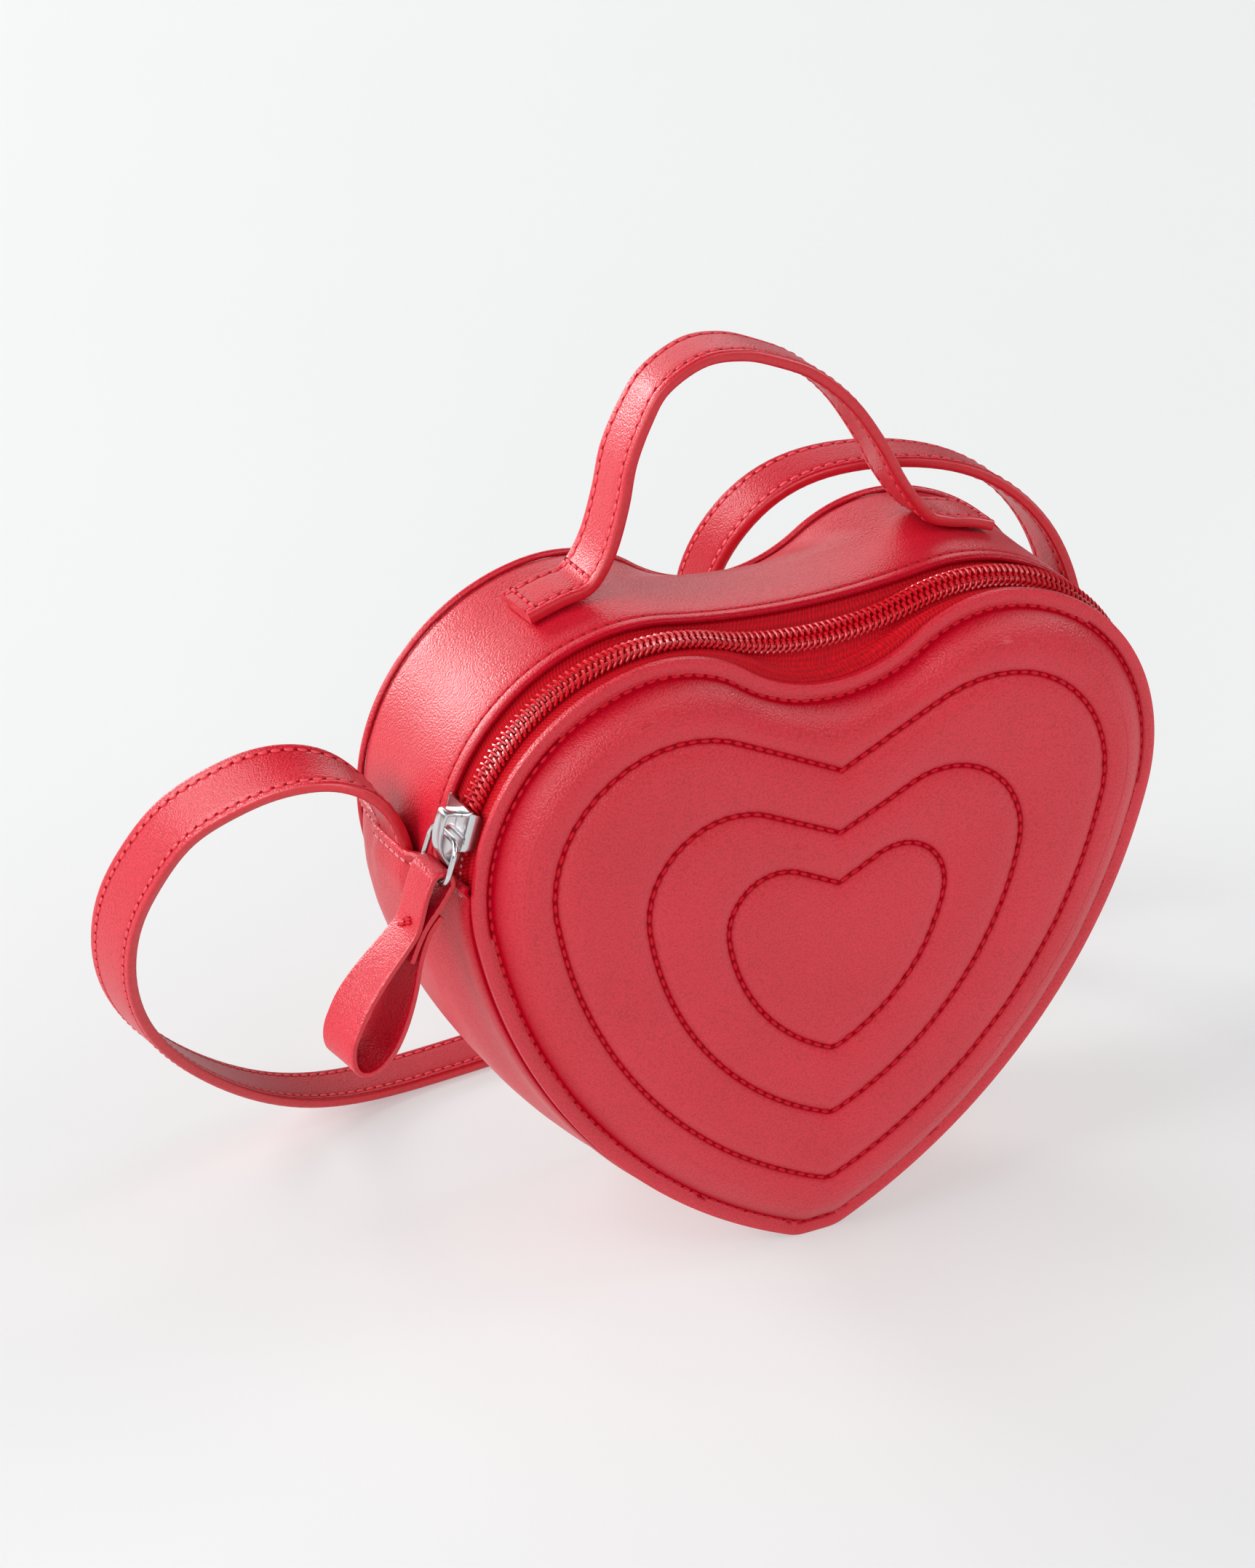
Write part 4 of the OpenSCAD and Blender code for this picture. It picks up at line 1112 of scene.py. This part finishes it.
# %% Slider plates
LOBE_PLACE = Matrix.Translation(Vector((-LOBE.x, CHAIN_Y, LOBE.y)) * MM)
SLIDER_TURN = radians(15.7)
AT_SLIDER = LOBE_PLACE @ Matrix.Rotation(SLIDER_TURN, 4, "Y")
PLATE_HALF_W, PLATE_HALF_L = 6, 7.25
FLAT_END, BEND_END = 0.6, 0.75
plate_width = [(-1, 0.34), (-0.93, 0.5), (-0.74, 0.6), (-0.34, 0.72), (-0.26, 0.97), (-0.18, 1), (1, 1)]


def plate(bm, r, size, flange, thick):
    """A flat plate; where it is wide its two edges are bent down by the flange's depth."""
    part = bmesh.new()
    bmesh.ops.create_grid(part, x_segments=24, y_segments=32, size=1)
    for v in part.verts:
        u, w = abs(v.co.x), v.co.y
        side = 1 if v.co.x > 0 else -1
        wide = PLATE_HALF_W * size * between(plate_width, w)
        deep = flange * max(0, 1 - abs((w - 0.37) / 0.63) ** 6) ** 0.5
        bend = 0.5 if deep else 0.1
        turn = within((u - FLAT_END) / 0.15) * pi / 2 * (1 if deep else 0)
        past_flat = bend * sin(turn) if deep else bend * max(0, (u - FLAT_END) / 0.4)
        y = min(1, u / FLAT_END) * (wide - bend) + past_flat
        down = bend * (1 - cos(turn)) + deep * max(0, (u - BEND_END) / 0.25)
        v.co = Vector((-(r - down), side * y, w * PLATE_HALF_L * size)) * MM
    bmesh.ops.recalc_face_normals(part, faces=part.faces)
    bmesh.ops.solidify(part, geom=part.faces[:], thickness=thick * MM)
    part.verts.index_update()
    stamp(bm, part, AT_SLIDER)


bm = bmesh.new()
plate(bm, r=52.4, size=1.0, flange=2.5, thick=0.7)
plate(bm, r=46.3, size=0.8, flange=0.0, thick=0.8)
post = bmesh.new()
post_place = Matrix.Translation(Vector((-49.3, 0, 3.6)) * MM) @ Matrix.Diagonal((6.2, 0.8, 3.6, 1))
bmesh.ops.create_cube(post, size=MM, matrix=post_place)
bmesh.ops.bevel(post, geom=post.edges[:], offset=0.15 * MM, segments=2, affect="EDGES", profile=0.5,
    material=-1)
post.verts.index_update()
stamp(bm, post, AT_SLIDER)
print("slider plates and post:", len(bm.faces), "faces")

# %% [markdown]
# The crown is a bent strip of the same sheet: it stands up at the wide end, bulges over the
# ring and comes down on the narrow end. Its side view is a curve, so its section is swept
# along that like the straps.

# %% Slider crown
crown_side = [(52.5, 5.1), (54.2, 5.15), (55.6, 5.1), (56.0, 4.7), (56.15, 3.6), (56.2, 1.4), (56.05, -0.8),
    (55.5, -2.9), (54.5, -4.7), (53.4, -6.0), (52.5, -6.8)]
crown_row = route([AT_SLIDER @ (Vector((-r, 0, z)) * MM) for r, z in crown_side], 4)
crown_section = [(-2.0, -0.15), (-1.9, -0.38), (-1.6, -0.45), (1.6, -0.45), (1.9, -0.38), (2.0, -0.15)]
crown_section += [(-a, -b) for a, b in crown_section]
swept(bm, crown_section, frames_of(crown_row, BACKWARD))
piece("slider_body", bm, "slider", [nickel], ["zip_slider"])

# %% [markdown]
# ## Pull
# The pull is one strip of leather: its end is folded over the ring, tacked with a bar of
# stitches, and its long side makes a loop. Folding a flat strip with bones would work, but
# its side view is simple, so it is swept like the straps, with a thinner section.

# %% Pull
RING_R, RING_H, RING_TURN, PULL_TURN = 54.2, 10.4, radians(2.3), radians(9)
WIRE_R, SLACK, HALF_LEATHER = 0.65, 1.2, 0.7
to_ring = Matrix.Translation(Vector((-RING_R, 0, 0)) * MM) @ Matrix.Rotation(RING_TURN, 4, "Y")
to_fold = Matrix.Translation(Vector((0, 0, -RING_H)) * MM) @ Matrix.Rotation(PULL_TURN, 4, "Y")
AT_PULL = AT_SLIDER @ to_ring @ to_fold
fold_r, layer, pull_l = WIRE_R + SLACK + HALF_LEATHER, 1.45, 48


def bow(rx, rz, z, bearings):
    """Points on an oval about a middle at z, one for each bearing."""
    return [(rx * cos(radians(a)), z + rz * sin(radians(a))) for a in bearings]


pull_points = [(-layer / 2, 0.4 * pull_l), (-layer / 2, 0.24 * pull_l), (-0.8 * fold_r, 0.1 * pull_l)]
pull_points += bow(fold_r, -fold_r, 0, range(180, -1, -20))
pull_points += [(0.8 * fold_r, 0.1 * pull_l), (layer / 2, 0.24 * pull_l), (layer, 0.34 * pull_l),
    (2.7 * layer, 0.52 * pull_l), (3.7 * layer, 0.68 * pull_l)]
pull_points += bow(3.7 * layer, 0.18 * pull_l, 0.8 * pull_l, range(0, 181, 20))
pull_points += [(-3.6 * layer, 0.68 * pull_l), (-2.9 * layer, 0.52 * pull_l), (-1.9 * layer, 0.38 * pull_l),
    (-1.6 * layer, 0.24 * pull_l), (-2.3 * layer, 0.15 * pull_l)]
pull_row = route([AT_PULL @ (Vector((-a, 0, -b)) * MM) for a, b in pull_points], 3)
half = [(-5.3, -0.2), (-5.25, -0.5), (-5.0, -0.68), (-4.5, -0.7), (-2.2, -0.7), (0, -0.7)]
half += [(-a, b) for a, b in reversed(half[:-1])]
pull_section = half + [(a, -b) for a, b in reversed(half)]
print("pull route of", len(pull_row), "points")

# %% [markdown]
# Lower down the pull is a little wider and turned towards the viewer. The tack's stitches
# are dropped onto the finished leather from the front.

# %% The pull's leather and tack
WIDENING = 0.12
to_pull, from_pull = AT_PULL.inverted(), AT_PULL.to_3x3()
lean = from_pull @ Vector((-0.22, 0, 0))
frames = []
for f in frames_of(pull_row, BACKWARD):
    low = ramp((-(to_pull @ f.translation).z / MM - 8) / 30)
    wide = Matrix.Diagonal((1 + WIDENING * low, 1, 1, 1))
    frames.append(frame_at(f.translation, f.col[2].to_3d(), BACKWARD + lean * low) @ wide)
bm = swept(bmesh.new(), pull_section, frames)
bm.verts.index_update()
painted_shade = bm.verts.layers.float.new("painted_shade")
for v in bm.verts:
    # Painted shade on one face of the strip, the inside of its loop.
    v[painted_shade] = 0.55 if pull_section[v.index % len(pull_section)][1] < -0.6 else 0
for f in bm.faces:
    if all(abs(pull_section[v.index % len(pull_section)][0]) > 5.1 for v in f.verts):
        f.material_index = 1
pull = piece("leather_pull", bm, "pull", [red_leather, painted_edge], ["zip_pull"])
pull_tree = tree_of(pull)
thread, holes = bmesh.new(), bmesh.new()
inward = (from_pull @ Vector((1, 0, 0))).normalized()
for down, a0, a1 in ((10.6, -1.5, 0.9), (11.8, 1.4, -1.2), (11.2, -1.9, 1.9), (12.6, 0.2, 1.6)):
    row = [AT_PULL @ (Vector((-8, a, z)) * MM) for a, z in ((a0, -down), (a1, -down - (a1 - a0) * 0.6))]
    sew(thread, holes, pinned(along(row, 2.4, 0.4), pull_tree, inward), lift=0.25)
sewn("pull_tack", thread, holes, "pull")

# %% [markdown]
# ## Linings and hidden layers
# Inside, the purse is lined with plain woven cloth. Little of it is ever seen, so a cloth
# simulation isn't worth its time: the linings are thin lofted shells like the leather, with
# a slight noise. The board and the ring keep their solids and only get a finish.

# %% Linings
LINING = 0.5


def cloth(name, rows, body, replaced, fill=False):
    bm, _, last = loft(rows)
    if fill:
        bmesh.ops.edgeloop_fill(bm, edges=last)
    for v in bm.verts:
        v.co.y += 0.12 * MM * noise.noise(v.co * 60)
    return piece(name, bm, body, [lining_cloth], replaced, thick=LINING * MM)


def panel_rows(arcs_at, y):
    rows = [points(arcs_at(out, 1), y) for out in (-1, -4, -8)]
    return rows + shrunk(rows[-1], Vector((0, y, 75)) * MM, INWARD)


def side_rows(arcs_at, out, depths):
    return [points(arcs_at(y, out), y) for y in depths]


front_lining = cloth("front_lining", panel_rows(panel_arcs, -27.0), None,
    ["front_lining_lower", "front_lining_upper"], fill=True)
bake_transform(front_lining)
cloth("back_lining_cloth", panel_rows(back_arcs, 25.2), "bag", ["back_lining"], fill=True)
cloth("upper_lining", side_rows(over_row, -2.2, (-8, -2, 4, 10, 13.1, 16, 20, 24)), "bag",
    ["gusset_lining_upper"])
cloth("lower_lining", side_rows(under_row, -2.0, (-26, -18, -8, 2, 12, 20, 24)), "bag",
    ["gusset_lining_lower"])

for name, finished in {"back_board": grey_board, "pull_ring": nickel}.items():
    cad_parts[name].data.materials.clear()
    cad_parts[name].data.materials.append(finished)

# %% [markdown]
# ## Floor and light
# The picture is lit softly from all sides in a pale room, most from the left and from
# behind. One lamp with a sky would leave the front too dark, so each bright wall, window or
# ceiling is its own soft area light. The floor is a wide pale plane that glows a little, as
# the photograph's is almost white, and the world fills the shadows.

# %% Floor
FLOOR_GLOW = 0.345
bm = bmesh.new()
bmesh.ops.create_grid(bm, x_segments=2, y_segments=2, size=8)
mesh = bpy.data.meshes.new("studio_floor")
bm.to_mesh(mesh)
bm.free()
floor = bpy.data.objects.new("studio_floor", mesh)
bpy.context.scene.collection.objects.link(floor)
mesh.materials.append(finish("lit_floor", (0.43, 0.44, 0.44), (0.45, 0.46, 0.46), 0.8, "noise", 3.0,
    Emission_Color=(1, 1, 1, 1), Emission_Strength=FLOOR_GLOW))
print("floor", tuple(round(c, 2) for c in floor.dimensions))

# %% [markdown]
# Every light is a rectangle aimed at the purse's middle. Its size sets how soft the shadows
# are, and its power, in watts, how bright its wall would be.

# %% Lights
AIM = Vector((0, 0, 0.1))
WORLD_COLOR, WORLD_STRENGTH = (0.97, 0.98, 1.0, 1), 0.13
world = bpy.data.worlds.new("studio")
bpy.context.scene.world = world
world.use_nodes = True
world.node_tree.nodes["Background"].inputs["Color"].default_value = WORLD_COLOR
world.node_tree.nodes["Background"].inputs["Strength"].default_value = WORLD_STRENGTH


def softbox(name, spot, size, power):
    lamp = bpy.data.lights.new(name, "AREA")
    lamp.shape, lamp.size, lamp.size_y, lamp.energy = "RECTANGLE", size[0], size[1], power
    made = bpy.data.objects.new(name, lamp)
    bpy.context.scene.collection.objects.link(made)
    back = (Vector(spot) - AIM).normalized()
    side = Vector((0, 0, 1)).cross(back).normalized()
    turned = Matrix((side, back.cross(side), back)).transposed().to_4x4()
    made.matrix_world = Matrix.Translation(Vector(spot)) @ turned


softbox("back_wall", (0.6, 3.2, 1.5), (4.0, 1.2), 33)
softbox("back_window", (-1.5, 3.2, 1.1), (1.4, 0.7), 66)
softbox("left_window", (-3.2, 0.16, 1.7), (2.2, 1.6), 98)
softbox("left_ceiling", (-2.0, 1.07, 2.65), (1.2, 0.8), 16)
softbox("front_wall", (-1.7, -3.0, 1.4), (2.2, 1.4), 55)
softbox("front_right", (1.9, -2.6, 2.4), (3.0, 2.4), 42)
softbox("right_window", (3.0, -0.3, 1.8), (1.6, 1.2), 36)
bpy.context.scene.view_settings.view_transform = "Standard"
print("lights", sorted(lamp.name for lamp in bpy.data.lights))
